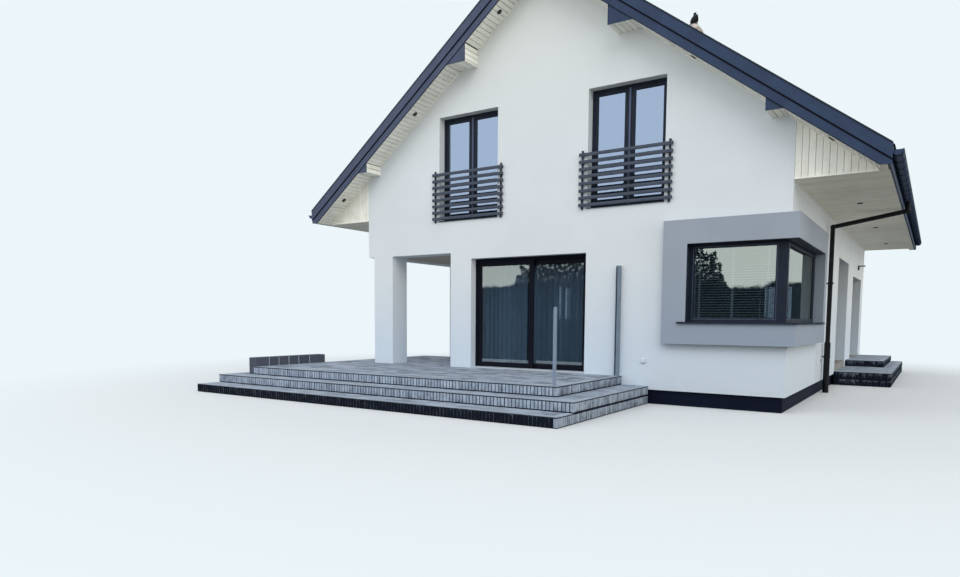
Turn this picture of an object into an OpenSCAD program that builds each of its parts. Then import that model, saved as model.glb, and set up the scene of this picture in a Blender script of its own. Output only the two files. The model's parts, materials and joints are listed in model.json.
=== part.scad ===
// Detached house with a gabled roof, a covered terrace corner, a corner window
// in a projecting frame and a stepped garden terrace.
// X runs across the gable, +Y from the garden into the house, Z up from the lawn.
// The gable's middle is X = 0. In the modules Y = 0 is the front wall's face,
// and in_frame() moves that to put the origin under the middle of the whole house.

/* [House] */
// Width of the house across the gable wall
house_w = 9112; // [7500:1:11000]
// Length of the house from the front wall to the rear wall
house_l = 12950; // [12700:10:16000]
// Thickness of the outer walls
wall_t = 440; // [300:10:520]
// Height of the recessed plinth above the lawn
plinth_h = 262; // [180:2:300]
// How far the plinth is set back under the render
plinth_inset = 50; // [20:5:80]
// Height of one garden step; the ground floor is three steps up
riser = 162; // [140:1:180]
// Underside of the walls over the covered terrace
loggia_head = 2926; // [2860:2:3100]
// Level of the upper floor
upper_floor_z = 3540; // [3440:5:3560]
// Thickness of the upper floor
upper_floor_t = 250; // [180:10:300]

/* [Roof] */
// Slope of the roof in degrees
roof_pitch = 37.3; // [34:0.1:45]
// Height of the roof's lowest edge
eave_z = 4058; // [3980:1:4300]
// Overhang of the roof past the side walls
eave_overhang = 1362; // [1150:2:1450]
// Overhang of the roof past the gable walls
verge_overhang = 503; // [300:1:700]
// Depth of the roof pack with its tiles, measured plumb
roof_t = 390; // [300:5:420]
// How far the pack's upper face lies under the tiles' top plane, measured plumb
tile_bed = 50; // [40:1:60]
// Underside of the level soffit beside the side walls
soffit_z = 3761; // [3700:1:3860]
// Thickness of the soffit cladding
soffit_t = 25; // [15:1:30]
// Depth of the upper barge board, measured plumb
barge_upper = 224; // [180:2:260]
// Thickness of the upper barge board
barge_t = 40; // [30:1:50]
// How far the lower barge board is set back behind the upper one
barge_step = 20; // [10:1:25]
// Radius of the gutters
gutter_r = 75; // [60:1:80]
// Diameter of the downpipes
downpipe_d = 90; // [80:1:100]
// Distance of the downpipes behind the front wall
downpipe_y = 4200; // [3900:10:5000]

/* [Purlin boxes] */
// Inner faces of the upper and lower purlin boxes, from the ridge line
purlin_x = [1520, 4180];
// Depth of the upper and lower purlin boxes at that face
purlin_h = [345, 200];

/* [Covered terrace] */
// Length of the covered terrace from the front wall's face
loggia_l = 3200; // [2600:10:3600]
// Width of the covered terrace from the left wall's face
loggia_w = 2362; // [2000:2:2500]
// Width of the corner column
column_w = 553; // [400:1:650]
// Depth of the corner column
column_d = 503; // [400:1:650]
// How far the column stands in from the left wall's face
column_inset = 167; // [60:1:240]
// Width of the wall pier beside the terrace door
pier_w = 530; // [440:2:650]

/* [Terrace door] */
// Width of the sliding door's opening
door_w = 2637; // [2200:1:2900]
// Height of the sliding door's opening
door_h = 2298; // [2050:2:2420]
// How far door and window frames stand behind the wall's face
reveal = 180; // [100:5:200]
// Thickness of one sliding door sash
sash_t = 60; // [45:1:70]
// Width of the sash profiles
sash_border = 86; // [70:1:120]

/* [French windows] */
// Width of a French window's opening
french_w = 1480; // [1300:2:1600]
// Height of a French window's opening
french_h = 2194; // [2000:2:2240]
// Sill level of the French windows
french_z = 3599; // [3580:1:3640]
// Middle of the left French window from the ridge line
french_left_x = 1762; // [1600:2:1900]
// Middle of the right French window from the ridge line
french_right_x = 1710; // [1600:2:1900]
// Width of a railing
rail_w = 1785; // [1700:5:1900]
// Number of railing bars
rail_bars = 8; // [6:1:10]
// Height of a railing bar
rail_bar_h = 42; // [30:1:70]
// Distance between the railing bars' middles
rail_pitch = 132.5; // [110:0.5:150]

/* [Corner window] */
// Width of the projecting frame on the front wall
surround_w = 2193; // [1900:1:2400]
// Length of the projecting frame along the side wall
surround_l = 3230; // [2800:10:3500]
// How far the frame stands out of the walls
surround_out = 142; // [80:1:180]
// Lower edge of the projecting frame
surround_z = 1105; // [900:5:1200]
// Height of the projecting frame
surround_h = 2137; // [1900:1:2200]
// Width of the corner window on the front wall, to the frame's outer corner
corner_w = 1770; // [1500:5:1900]
// Length of the corner window along the side wall, from the front wall's face
corner_l = 2935; // [2400:5:3000]
// Sill level of the corner window
corner_z = 1480; // [1350:5:1560]
// Height of the corner window
corner_h = 1350; // [1200:5:1400]
// How far the corner window stands behind the frame's face
corner_reveal = 180; // [60:5:220]

/* [Side entrance] */
// Start and end of the two side openings, behind the front wall's face
side_open_a = [6450, 8567];
side_open_b = [9850, 12250];
// Heads of the two side openings
side_head_a = 3035; // [2600:5:3100]
side_head_b = 2784; // [2500:5:3000]
// How far the side doors stand behind the wall's face
side_reveal = 290; // [150:5:320]
// Width of the entrance step in front of the wall
entrance_w = 1200; // [900:10:1350]

/* [Garden terrace] */
// Left and right edges of the terrace's top level
terrace_x = [-5428, 1744];
// How far the top level reaches in front of the wall
terrace_l = 2631; // [2200:1:3000]
// Tread of the second level at the front, left and right
tread = [435, 580, 507];
// Tread of the bottom step
bottom_tread = 512; // [300:1:560]
// Thickness and length of the low planter wall, and its height above the terrace
planter_size = [100, 2230, 204];
// Height of the awning's wall case and of its post above the terrace
case_h = 2020; // [1500:10:2100]
post_h = 1220; // [900:10:2000]
// Width and depth of the awning's wall case
case_size = [70, 95];
// Width of the awning's post
post_w = 42; // [35:1:80]

/* [Chimney] */
// Place of the chimney's middle: from the ridge line and from the front wall
chimney_at = [1170, 5600];
// Plan size of the chimney
chimney_size = [340, 340];
// Height of the cap slab's top above the roof at the chimney's middle
chimney_rise = 1055; // [500:5:1500]

/* [Hidden] */

render_white = "whitesmoke";
anthracite = [0.2, 0.22, 0.26];
glass_blue = [0.55, 0.65, 0.7, 0.5];
cladding_white = "white";
block_grey = [0.5, 0.52, 0.55];

slope = tan(roof_pitch);
half_w = house_w / 2;
inner_x = half_w - wall_t;
floor_z = 3 * riser;
eave_x = half_w + eave_overhang;
ridge_z = eave_z + eave_x * slope;
front_y = -terrace_l - tread[0] - bottom_tread;
rear_y = house_l + verge_overhang;
mid_y = (front_y + rear_y) / 2;

// Clearance between sloped faces that lie on each other
seam = 0.3;

// The fascias, which stand back under the tiles' noses, and the gutters
fascia_t = 30;
nose = 18;
fascia_drop = 84;
gutter_drop = 103;
gutter_wall = 4;
fascia_x = eave_x - fascia_t - nose;
fascia_z = eave_z - fascia_drop;
gutter_x = fascia_x + fascia_t + gutter_r;
gutter_z = eave_z - gutter_drop;
chimney_z = roof_z(chimney_at[0]) + chimney_rise;
barge_y = verge_overhang - barge_t;
cladding_t = roof_t + soffit_t;

pier_x = -half_w + loggia_w;
door_x0 = pier_x + pier_w;
door_x1 = door_x0 + door_w;
door_head = floor_z + door_h;
loggia_in = pier_x + wall_t;

// Two-sash windows: the outer frame's face, the sashes set back in it, their meeting strip
frame_t = 80;
outer_border = 48;
frame_border = 105;
meeting = 182;
sash_back = 14;
strip_w = 56;
pane_t = 28;

// Entrance door: its frame's profiles, its leaf and how far that is set back
entrance_border = 70;
leaf_w = 1020;
leaf_back = 14;

// The sliding door's outer frame, and the moving sash inside it
track_t = 2 * sash_t + 12;
threshold = 30;
head_border = 60;
jamb = 60;
overlap = 80;
door_mid = (door_x0 + door_x1) / 2;
sash_gap = 6;
sash_x0 = door_mid - overlap;
sash_x1 = door_x1 - jamb - sash_gap;
sash_y0 = reveal + sash_t + sash_gap;
sash_z0 = floor_z + threshold + sash_gap;
sash_z1 = door_head - head_border - sash_gap;

surround_x = half_w + surround_out - surround_w;
window_x0 = half_w + surround_out - corner_w;
window_x1 = half_w + surround_out - corner_reveal;
window_y0 = corner_reveal - surround_out;
corner_frame_t = 80;
corner_post = 175;
corner_border = 65;
corner_step = 10;
corner_edge = 30;
lining_t = 8;
sill_t = 12;

rear_window_w = 1480;
rear_window_h = 1350;
rear_window_z = 1434;
rear_head_gap = 130;
left_window_y = [5600, 9600];
rear_window_x = [-2300, 2300];
rear_upper_z = roof_z(rear_window_x[1] + rear_window_w / 2) - roof_t - rear_head_gap - rear_window_h;

function roof_z(x) = ridge_z - slope * abs(x);
function x_at(z) = (ridge_z - z) / slope;

// Moves the modules' frame to the part's own origin.
module in_frame() {
    translate([0, -mid_y, 0]) children();
}

// A box given by its low and high corners.
module block(low, high) {
    translate(low) cube(high - low);
}

// An outline in X and Z, drawn out along Y.
module along_y(y0, y1) {
    translate([0, y1, 0]) rotate([90, 0, 0]) linear_extrude(y1 - y0) children();
}

// An outline in Y and Z, drawn out along X.
module along_x(x0, x1) {
    translate([x0, 0, 0]) rotate([90, 0, 90]) linear_extrude(x1 - x0) children();
}

// The children and their mirror image across the ridge line.
module both_sides() {
    children();
    mirror([1, 0, 0]) children();
}

// The children and their copy at the other gable.
module both_gables() {
    children();
    translate([0, house_l, 0]) mirror([0, 1, 0]) children();
}

// Everything a seam below the roof pack, for cutting the walls' tops.
module under_roof(y0, y1) {
    drop = roof_t + seam;
    along_y(y0, y1) polygon([[-eave_x, 0], [eave_x, 0], [eave_x, eave_z - drop],
        [0, ridge_z - drop], [-eave_x, eave_z - drop]]);
}

module plinth() {
    color(anthracite) difference() {
        block([-half_w + plinth_inset, plinth_inset, 0],
            [half_w - plinth_inset, house_l - plinth_inset, plinth_h]);
        block([-half_w, 0, -1], [pier_x + plinth_inset, loggia_l + plinth_inset, plinth_h + 1]);
    }
}

module ground_floor() {
    color("tan") difference() {
        union() {
            block([-inner_x, wall_t, plinth_h], [inner_x, house_l - wall_t, floor_z]);
            block([door_x0, 0, plinth_h], [door_x1, wall_t, floor_z]);
            for (gap = [side_open_a, side_open_b])
                block([inner_x, gap[0], plinth_h], [half_w, gap[1], floor_z]);
        }
        block([-half_w, 0, 0], [loggia_in, loggia_l + wall_t, floor_z + 1]);
    }
}

module upper_floor() {
    color("tan") block([-inner_x, wall_t, upper_floor_z - upper_floor_t],
        [inner_x, house_l - wall_t, upper_floor_z]);
}

module front_wall_pier() {
    color(render_white) block([pier_x, 0, plinth_h], [door_x0, wall_t, door_head]);
}

// The ground floor wall beside the terrace door, with its half of the corner window.
module front_wall_right() {
    color(render_white) difference() {
        block([door_x1, 0, plinth_h], [half_w, wall_t, loggia_head]);
        block([window_x0, -1, corner_z], [half_w + 1, wall_t + 1, corner_z + corner_h]);
    }
}

// The opening of one French window, cut through the front gable.
module french_opening(x) {
    block([x - french_w / 2, -1, french_z], [x + french_w / 2, wall_t + 1, french_z + french_h]);
}

module front_gable() {
    color(render_white) difference() {
        intersection() {
            along_y(0, wall_t) polygon([[-half_w, loggia_head], [pier_x, loggia_head],
                [pier_x, door_head], [door_x1, door_head], [door_x1, loggia_head],
                [half_w, loggia_head], [half_w, ridge_z], [-half_w, ridge_z]]);
            under_roof(-1, wall_t + 1);
        }
        french_opening(-french_left_x);
        french_opening(french_right_x);
    }
}

module right_wall() {
    color(render_white) difference() {
        intersection() {
            block([inner_x, wall_t, plinth_h], [half_w, house_l - wall_t, ridge_z]);
            under_roof(0, house_l);
        }
        block([inner_x - 1, wall_t - 1, corner_z],
            [half_w + 1, corner_l + lining_t, corner_z + corner_h]);
        block([inner_x - 1, side_open_a[0], plinth_h - 1], [half_w + 1, side_open_a[1], side_head_a]);
        block([inner_x - 1, side_open_b[0], plinth_h - 1], [half_w + 1, side_open_b[1], side_head_b]);
    }
}

// The left wall stands behind the covered terrace and runs on above it.
module left_wall() {
    color(render_white) difference() {
        intersection() {
            block([-half_w, wall_t, plinth_h], [-inner_x, house_l - wall_t, ridge_z]);
            under_roof(0, house_l);
        }
        block([-half_w - 1, 0, 0], [-inner_x + 1, loggia_l, loggia_head]);
        for (y = left_window_y)
            block([-half_w - 1, y - rear_window_w / 2, rear_window_z],
                [-inner_x + 1, y + rear_window_w / 2, rear_window_z + rear_window_h]);
    }
}

module rear_wall() {
    color(render_white) difference() {
        intersection() {
            block([-half_w, house_l - wall_t, plinth_h], [half_w, house_l, ridge_z]);
            under_roof(0, house_l);
        }
        for (x = rear_window_x, z = [rear_window_z, rear_upper_z])
            block([x - rear_window_w / 2, house_l - wall_t - 1, z],
                [x + rear_window_w / 2, house_l + 1, z + rear_window_h]);
    }
}

module loggia_back_wall() {
    color(render_white)
        block([-inner_x, loggia_l, plinth_h], [pier_x, loggia_l + wall_t, loggia_head]);
}

module loggia_side_wall() {
    color(render_white)
        block([pier_x, wall_t, plinth_h], [loggia_in, loggia_l + wall_t, loggia_head]);
}

module loggia_column() {
    color(render_white) block([-half_w + column_inset, 0, floor_z],
        [-half_w + column_inset + column_w, column_d, loggia_head]);
}

module loggia_ceiling() {
    color(render_white) block([-inner_x, wall_t, loggia_head],
        [loggia_in, loggia_l + wall_t, upper_floor_z - upper_floor_t]);
}

// One slope of the roof pack on the right of the ridge, level under the eave.
module roof_slope() {
    inner_edge = x_at(soffit_z + cladding_t);
    along_y(-barge_y, house_l + barge_y) polygon([[0, ridge_z - tile_bed],
        [eave_x, eave_z - tile_bed], [eave_x, fascia_z], [fascia_x, fascia_z],
        [fascia_x, soffit_z + soffit_t], [inner_edge, soffit_z + soffit_t],
        [0, ridge_z - roof_t]]);
}

module roof_left() {
    color(anthracite) mirror([1, 0, 0]) roof_slope();
}

module roof_right() {
    color(anthracite) difference() {
        roof_slope();
        chimney_shaft(ridge_z);
    }
}

// The ridge cap, on a batten that stands on the roof pack between the barge boards.
module ridge_cap() {
    cap_w = 150;
    cap_t = 30;
    batten_w = 20;
    crown = 48;
    color(anthracite) translate([0, 0, seam]) {
        along_y(-verge_overhang, house_l + verge_overhang)
            polygon([[0, ridge_z], [cap_w, roof_z(cap_w)], [cap_w, roof_z(cap_w) + cap_t],
                [cap_w / 2, roof_z(cap_w / 2) + crown], [0, ridge_z + crown],
                [-cap_w / 2, roof_z(cap_w / 2) + crown],
                [-cap_w, roof_z(cap_w) + cap_t], [-cap_w, roof_z(cap_w)]]);
        along_y(seam - barge_y, house_l + barge_y - seam)
            polygon([[0, ridge_z - tile_bed], [batten_w, roof_z(batten_w) - tile_bed],
                [batten_w, ridge_z], [-batten_w, ridge_z],
                [-batten_w, roof_z(batten_w) - tile_bed]]);
    }
}

// The outline of one purlin box: a triangle between the sloped cladding and a level bottom.
module purlin_outline(i) {
    top = roof_z(purlin_x[i]) - cladding_t;
    polygon([[purlin_x[i], top], [purlin_x[i], top - purlin_h[i]],
        [purlin_x[i] + purlin_h[i] / slope, top - purlin_h[i]]]);
}

// The outline of the plate that closes a purlin box. It runs up inside the lower barge board.
module purlin_end(i) {
    run_on = 60;
    inner = purlin_x[i];
    outer = inner + purlin_h[i] / slope + run_on;
    bottom = roof_z(inner) - cladding_t - purlin_h[i];
    top_drop = (barge_upper + cladding_t) / 2;
    polygon([[inner, roof_z(inner) - top_drop], [inner, bottom], [outer, bottom],
        [outer, roof_z(outer) - top_drop]]);
}

// Both barge boards of one gable, with the plates that close the purlin boxes set back in them.
// A narrow strip stands out along each plate's inner and lower edges.
module barge_boards() {
    low_edge = x_at(soffit_z + cladding_t);
    plate_t = (barge_t - barge_step) / 2;
    edge_t = 6;
    both_sides() {
        along_y(-verge_overhang, -barge_y)
            polygon([[0, ridge_z], [eave_x, eave_z], [eave_x, eave_z - barge_upper],
                [0, ridge_z - barge_upper]]);
        along_y(-verge_overhang + barge_step, -barge_y)
            polygon([[0, ridge_z - barge_upper], [eave_x, eave_z - barge_upper],
                [eave_x, soffit_z], [low_edge, soffit_z], [0, ridge_z - cladding_t]]);
        for (i = [0, 1]) {
            along_y(-barge_y - plate_t, -barge_y) purlin_end(i);
            along_y(-barge_y - plate_t - edge_t, -barge_y) difference() {
                purlin_end(i);
                translate([edge_t, edge_t]) purlin_end(i);
            }
        }
    }
}

module front_barge_boards() {
    color(anthracite) barge_boards();
}

module rear_barge_boards() {
    color(anthracite) translate([0, house_l, 0]) mirror([0, 1, 0]) barge_boards();
}

// The white cladding under the roof in front of each gable, level near the eaves.
module verge_soffits() {
    inner_edge = x_at(soffit_z + cladding_t);
    color(cladding_white) both_gables() along_y(-barge_y, 0) both_outlines()
        polygon([[0, ridge_z - roof_t - seam], [inner_edge, soffit_z + soffit_t - seam],
            [fascia_x, soffit_z + soffit_t - seam], [fascia_x, soffit_z],
            [inner_edge, soffit_z], [0, ridge_z - cladding_t]]);
}

// An outline and its mirror image, as one shape.
module both_outlines() {
    children();
    mirror([1, 0]) children();
}

module purlin_boxes() {
    color(cladding_white) both_gables() both_sides()
        for (i = [0, 1]) along_y(-barge_y, 0) translate([0, -seam]) purlin_outline(i);
}

module eave_soffits() {
    color(cladding_white) both_sides()
        block([half_w, 0, soffit_z], [fascia_x, house_l, soffit_z + soffit_t]);
}

// Upright cladding that closes the eave boxes above the level soffit, at both gables.
module eave_end_panels() {
    top_z = roof_z(half_w) - roof_t - seam;
    edge_x = x_at(soffit_z + cladding_t + seam);
    color(cladding_white) both_gables() both_sides() along_y(0, soffit_t)
        polygon([[half_w, soffit_z + soffit_t], [edge_x, soffit_z + soffit_t], [half_w, top_z]]);
}

module eave_fascias() {
    color(anthracite) both_sides() block([fascia_x, -barge_y, soffit_z],
        [fascia_x + fascia_t, house_l + barge_y, fascia_z]);
}

// A half round channel with closed ends and a back flange against the fascia.
module gutter() {
    flange = fascia_z - gutter_z;
    difference() {
        along_y(-barge_y, house_l + barge_y) intersection() {
            translate([gutter_x, gutter_z]) circle(gutter_r, $fn = 48);
            translate([gutter_x - gutter_r, gutter_z - gutter_r])
                square([2 * gutter_r, gutter_r]);
        }
        along_y(-barge_y + gutter_wall, house_l + barge_y - gutter_wall)
            translate([gutter_x, gutter_z]) circle(gutter_r - gutter_wall, $fn = 48);
    }
    block([fascia_x + fascia_t, -barge_y, gutter_z - flange],
        [fascia_x + fascia_t + gutter_wall, house_l + barge_y, gutter_z + flange]);
}

module gutters() {
    color(anthracite) both_sides() gutter();
}

// A straight pipe between two points that differ in X and Z only.
module pipe_run(a, b, d) {
    turn = atan2(b[0] - a[0], b[2] - a[2]);
    translate(a) rotate([0, turn, 0]) cylinder(d = d, h = norm(b - a), $fn = 32);
}

// A downpipe: out of the gutter, under the soffit to the wall and down to a standpipe.
module downpipe() {
    standpipe_h = 1070;
    standpipe_d = downpipe_d + 30;
    wall_gap = 35;
    elbow_drop = 270;
    bead = 12;
    clip_z = [750, 2300];
    clip_h = 30;
    arm_t = 20;
    wall_x = half_w + wall_gap + standpipe_d / 2;
    outlet = [gutter_x, downpipe_y, gutter_z - gutter_r];
    bend = [gutter_x, downpipe_y, soffit_z - downpipe_d / 2 - 1];
    elbow = [wall_x, downpipe_y, soffit_z - elbow_drop];
    foot = [wall_x, downpipe_y, 0];
    pipe_run(bend, outlet, downpipe_d);
    pipe_run(elbow, bend, downpipe_d);
    pipe_run(foot, elbow, downpipe_d);
    for (joint = [bend, elbow]) translate(joint) sphere(d = downpipe_d + bead, $fn = 32);
    translate(foot) cylinder(d = standpipe_d, h = standpipe_h, $fn = 32);
    for (z = clip_z) translate([0, 0, z]) {
        translate([wall_x, downpipe_y, 0]) cylinder(d = standpipe_d + bead, h = clip_h, $fn = 32);
        block([half_w, downpipe_y - arm_t / 2, 0], [wall_x, downpipe_y + arm_t / 2, clip_h]);
    }
}

module downpipes() {
    color(anthracite) both_sides() downpipe();
}

// A two-sash window frame in X and Z, its outer face at Y = 0: the outer frame, the sashes
// set back in it, the strip over their meeting stiles and a drip bar at their foot.
module sash_frame(w, h) {
    strip_back = 4;
    drip_z = 66;
    drip_t = 18;
    drip_in = outer_border + 10;
    pane_w = (w - meeting) / 2 - frame_border;
    difference() {
        cube([w, frame_t, h]);
        translate([outer_border, -1, outer_border])
            cube([w - 2 * outer_border, sash_back + 1, h - 2 * outer_border]);
        for (x = [frame_border, w - frame_border - pane_w])
            translate([x, -1, frame_border]) cube([pane_w, frame_t + 2, h - 2 * frame_border]);
    }
    translate([(w - strip_w) / 2, strip_back, outer_border])
        cube([strip_w, sash_back, h - 2 * outer_border]);
    translate([drip_in, 0, drip_z]) cube([w - 2 * drip_in, sash_back + 1, drip_t]);
}

// The panes of a two-sash frame.
module sash_panes(w, h) {
    pane_w = (w - meeting) / 2 - frame_border;
    for (x = [frame_border, w - frame_border - pane_w])
        translate([x, (frame_t - pane_t) / 2, frame_border])
            cube([pane_w, pane_t, h - 2 * frame_border]);
}

// The places of the French windows.
module at_french_windows() {
    for (x = [-french_left_x, french_right_x])
        translate([x - french_w / 2, reveal, french_z]) children();
}

// The places of the plain windows in the left and rear walls.
module at_rear_windows() {
    for (y = left_window_y)
        translate([-half_w + reveal, y + rear_window_w / 2, rear_window_z])
            rotate([0, 0, -90]) children();
    for (x = rear_window_x, z = [rear_window_z, rear_upper_z])
        translate([x + rear_window_w / 2, house_l - reveal, z]) rotate([0, 0, 180]) children();
}

module french_window_frames() {
    sill_out = 25;
    color(anthracite) at_french_windows() {
        sash_frame(french_w, french_h);
        translate([0, -reveal - sill_out, 0]) cube([french_w, reveal + sill_out, sill_t]);
    }
}

module rear_window_frames() {
    color(anthracite) at_rear_windows() sash_frame(rear_window_w, rear_window_h);
}

// One railing: flat bars on two posts, which stand on brackets at the wall.
module railing() {
    bar_t = 30;
    stile_w = 35;
    stile_t = 24;
    bracket_t = 8;
    overrun = 60;
    stack_h = (rail_bars - 1) * rail_pitch + rail_bar_h;
    front = -bracket_t - stile_t;
    for (i = [0 : rail_bars - 1]) translate([-rail_w / 2, front - bar_t, i * rail_pitch])
        cube([rail_w, bar_t, rail_bar_h]);
    for (side = [-1, 1]) translate([side * (rail_w / 2 - overrun), 0, 0]) {
        translate([-stile_w / 2, front, -overrun])
            cube([stile_w, stile_t, stack_h + 2 * overrun]);
        for (z = [-overrun, stack_h + overrun - stile_w]) translate([-stile_w, -bracket_t, z])
            cube([2 * stile_w, bracket_t, stile_w]);
    }
}

module balcony_railings() {
    rise = 44;
    color(anthracite) for (x = [-french_left_x, french_right_x])
        translate([x, 0, french_z + rise]) railing();
}

// The door's outer frame with the glazed left half set back in its outer track.
module terrace_door_frame() {
    fixed_x1 = door_mid + overlap;
    fixed_back = 10;
    color(anthracite) {
        difference() {
            block([door_x0, reveal, floor_z], [door_x1, reveal + track_t, door_head]);
            block([door_x0 + jamb, reveal - 1, floor_z + threshold],
                [door_x1 - jamb, reveal + track_t + 1, door_head - head_border]);
        }
        difference() {
            block([door_x0 + jamb, reveal + fixed_back, floor_z + threshold],
                [fixed_x1, reveal + sash_t, door_head - head_border]);
            block([door_x0 + jamb + sash_border, reveal - 1, floor_z + threshold + sash_border],
                [fixed_x1 - sash_border, reveal + sash_t + 1,
                    door_head - head_border - sash_border]);
        }
    }
}

// The sliding right half, in the inner track.
module sliding_sash() {
    handle_z = floor_z + 1050;
    roller_l = 90;
    roller_in = 120;
    roller_gap = 0.3;
    color(anthracite) {
        difference() {
            block([sash_x0, sash_y0, sash_z0], [sash_x1, sash_y0 + sash_t, sash_z1]);
            block([sash_x0 + sash_border, sash_y0 - 1, sash_z0 + sash_border],
                [sash_x1 - sash_border, sash_y0 + sash_t + 1, sash_z1 - sash_border]);
        }
        translate([sash_x1 - sash_border / 2, sash_y0 + sash_t, handle_z]) lever();
        for (x = [sash_x0 + roller_in, sash_x1 - roller_in - roller_l])
            translate([x, sash_y0 + sash_t / 3, sash_z0 - sash_gap + roller_gap])
                cube([roller_l, sash_t / 3, sash_gap - roller_gap]);
    }
}

// An upright lever handle on the room side.
module lever() {
    plate = [32, 9, 150];
    spindle_d = 18;
    spindle_l = 45;
    grip = [22, 16, 160];
    grip_y = 36;
    grip_top = 10;
    translate([-plate[0] / 2, 0, -plate[2] / 2]) cube(plate);
    translate([0, spindle_l, 0]) rotate([90, 0, 0])
        cylinder(d = spindle_d, h = spindle_l - plate[1] / 2, $fn = 24);
    translate([-grip[0] / 2, grip_y, grip_top - grip[2]]) cube(grip);
}

module sliding_glass() {
    y0 = sash_y0 + (sash_t - pane_t) / 2;
    color(glass_blue) block([sash_x0 + sash_border, y0, sash_z0 + sash_border],
        [sash_x1 - sash_border, y0 + pane_t, sash_z1 - sash_border]);
}

module fixed_glazing() {
    door_y = reveal + (sash_t - pane_t) / 2;
    pane_y = window_y0 + (corner_frame_t - pane_t) / 2;
    pane_x = window_x1 - (corner_frame_t + pane_t) / 2;
    color(glass_blue) {
        at_french_windows() sash_panes(french_w, french_h);
        at_rear_windows() sash_panes(rear_window_w, rear_window_h);
        block([door_x0 + jamb + sash_border, door_y, floor_z + threshold + sash_border],
            [door_mid + overlap - sash_border, door_y + pane_t,
                door_head - head_border - sash_border]);
        block([window_x0 + corner_border, pane_y, corner_z + corner_border],
            [window_x1 - corner_post, pane_y + pane_t, corner_z + corner_h - corner_border]);
        block([pane_x, window_y0 + corner_frame_t, corner_z + corner_border],
            [pane_x + pane_t, corner_l - corner_border, corner_z + corner_h - corner_border]);
        at_side_door(side_open_a) sash_panes(side_open_a[1] - side_open_a[0], side_head_a - floor_z);
        at_side_door(side_open_b) side_lights((frame_t - pane_t) / 2, pane_t);
    }
}

// The gathered sheer curtain behind the terrace door, on its rail.
module terrace_curtain() {
    curtain_y = wall_t + 90;
    curtain_t = 70;
    side_gap = 20;
    foot_gap = 15;
    color("ghostwhite") block([door_x0 + side_gap, curtain_y, floor_z + foot_gap],
        [door_x1 - side_gap, curtain_y + curtain_t, upper_floor_z - upper_floor_t]);
}

// The projecting frame that runs round the corner of the house, open at the window.
module window_surround() {
    out_x = half_w + surround_out;
    color([0.6, 0.63, 0.67]) difference() {
        block([surround_x, -surround_out, surround_z], [out_x, surround_l, surround_z + surround_h]);
        block([surround_x - 1, 0, 0], [half_w, house_l, ridge_z]);
        block([window_x0, -surround_out - 1, corner_z],
            [out_x + 1, corner_l, corner_z + corner_h]);
    }
    color([0.6, 0.63, 0.67]) block([window_x1 - corner_frame_t, corner_l, corner_z],
        [half_w + lining_t, corner_l + lining_t, corner_z + corner_h]);
}

// The corner window's frame: two rings that share a corner post, and the dark lining
// of the opening's left side and head.
module corner_window_frame() {
    pane_z0 = corner_z + corner_border;
    pane_z1 = corner_z + corner_h - corner_border;
    head_z = corner_z + corner_h;
    lining_back = 2;
    face_y = -surround_out + lining_back;
    face_x = half_w + surround_out - lining_back;
    post_face = 95;
    color(anthracite) {
        block([window_x0, face_y, corner_z + sill_t], [window_x0 + lining_t, window_y0, head_z]);
        block([window_x0, face_y, head_z - lining_t], [face_x, window_y0, head_z]);
        block([window_x1, face_y, head_z - lining_t], [face_x, corner_l, head_z]);
    }
    color(anthracite) difference() {
        block([window_x0, window_y0, corner_z], [window_x1, corner_l, corner_z + corner_h]);
        block([window_x0 - 1, window_y0 + corner_frame_t, corner_z - 1],
            [window_x1 - corner_frame_t, corner_l + 1, corner_z + corner_h + 1]);
        block([window_x0 + corner_border, window_y0 - 1, pane_z0],
            [window_x1 - corner_post, window_y0 + corner_frame_t + 1, pane_z1]);
        block([window_x1 - corner_frame_t - 1, window_y0 + corner_frame_t, pane_z0],
            [window_x1 + 1, corner_l - corner_border, pane_z1]);
        block([window_x0 + corner_edge, window_y0 - 1, corner_z + corner_edge],
            [window_x1 - post_face, window_y0 + corner_step, head_z - corner_edge]);
        block([window_x1 - corner_step, window_y0 + corner_frame_t, corner_z + corner_edge],
            [window_x1 + 1, corner_l - corner_edge, head_z - corner_edge]);
    }
}

// The thin metal sill, carried past the frame's face.
module window_sill() {
    lip = 40;
    lip_h = 30;
    ear = 140;
    out_x = half_w + surround_out;
    top = corner_z + sill_t;
    color(anthracite) {
        block([window_x0, -surround_out, corner_z], [out_x, window_y0, top]);
        block([window_x1, window_y0, corner_z], [out_x, corner_l, top]);
        block([window_x0 - ear, -surround_out - lip, top - lip_h],
            [out_x + lip, -surround_out, top]);
        block([out_x, -surround_out, top - lip_h], [out_x + lip, corner_l, top]);
    }
}

// The slatted blind behind the front pane, as the closed shape it fills.
module window_blind() {
    blind_y = window_y0 + corner_frame_t + 25;
    blind_t = 30;
    side_gap = 20;
    foot_gap = 60;
    color("lightgrey") block([window_x0 + side_gap, blind_y, corner_z + foot_gap],
        [window_x1 - corner_post, blind_y + blind_t, corner_z + corner_h]);
}

// The retracted side awning: its slotted case on the wall and its grooved post on the terrace.
module side_awning() {
    slot = [8, 14];
    groove = [7, 3];
    foot_t = 8;
    case_in = 85;
    post_in = [78, 73];
    case_at = [terrace_x[1] - case_in, -case_size[1] / 2, floor_z];
    post_at = [terrace_x[1] - post_in[0], -terrace_l + post_in[1], floor_z];
    color("silver") {
        translate(case_at) linear_extrude(case_h) difference() {
            square(case_size, center = true);
            translate([-case_size[0] / 6 - slot[0] / 2, -case_size[1] / 2 - 1])
                square([slot[0], slot[1] + 1]);
        }
        translate(post_at) linear_extrude(post_h) difference() {
            square(post_w, center = true);
            for (turn = [0 : 90 : 270]) rotate(turn)
                translate([-groove[0] / 2, -post_w / 2 - 1]) square([groove[0], groove[1] + 1]);
        }
        translate(post_at) translate([-post_w, -post_w, 0]) cube([2 * post_w, 2 * post_w, foot_t]);
    }
}

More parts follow.
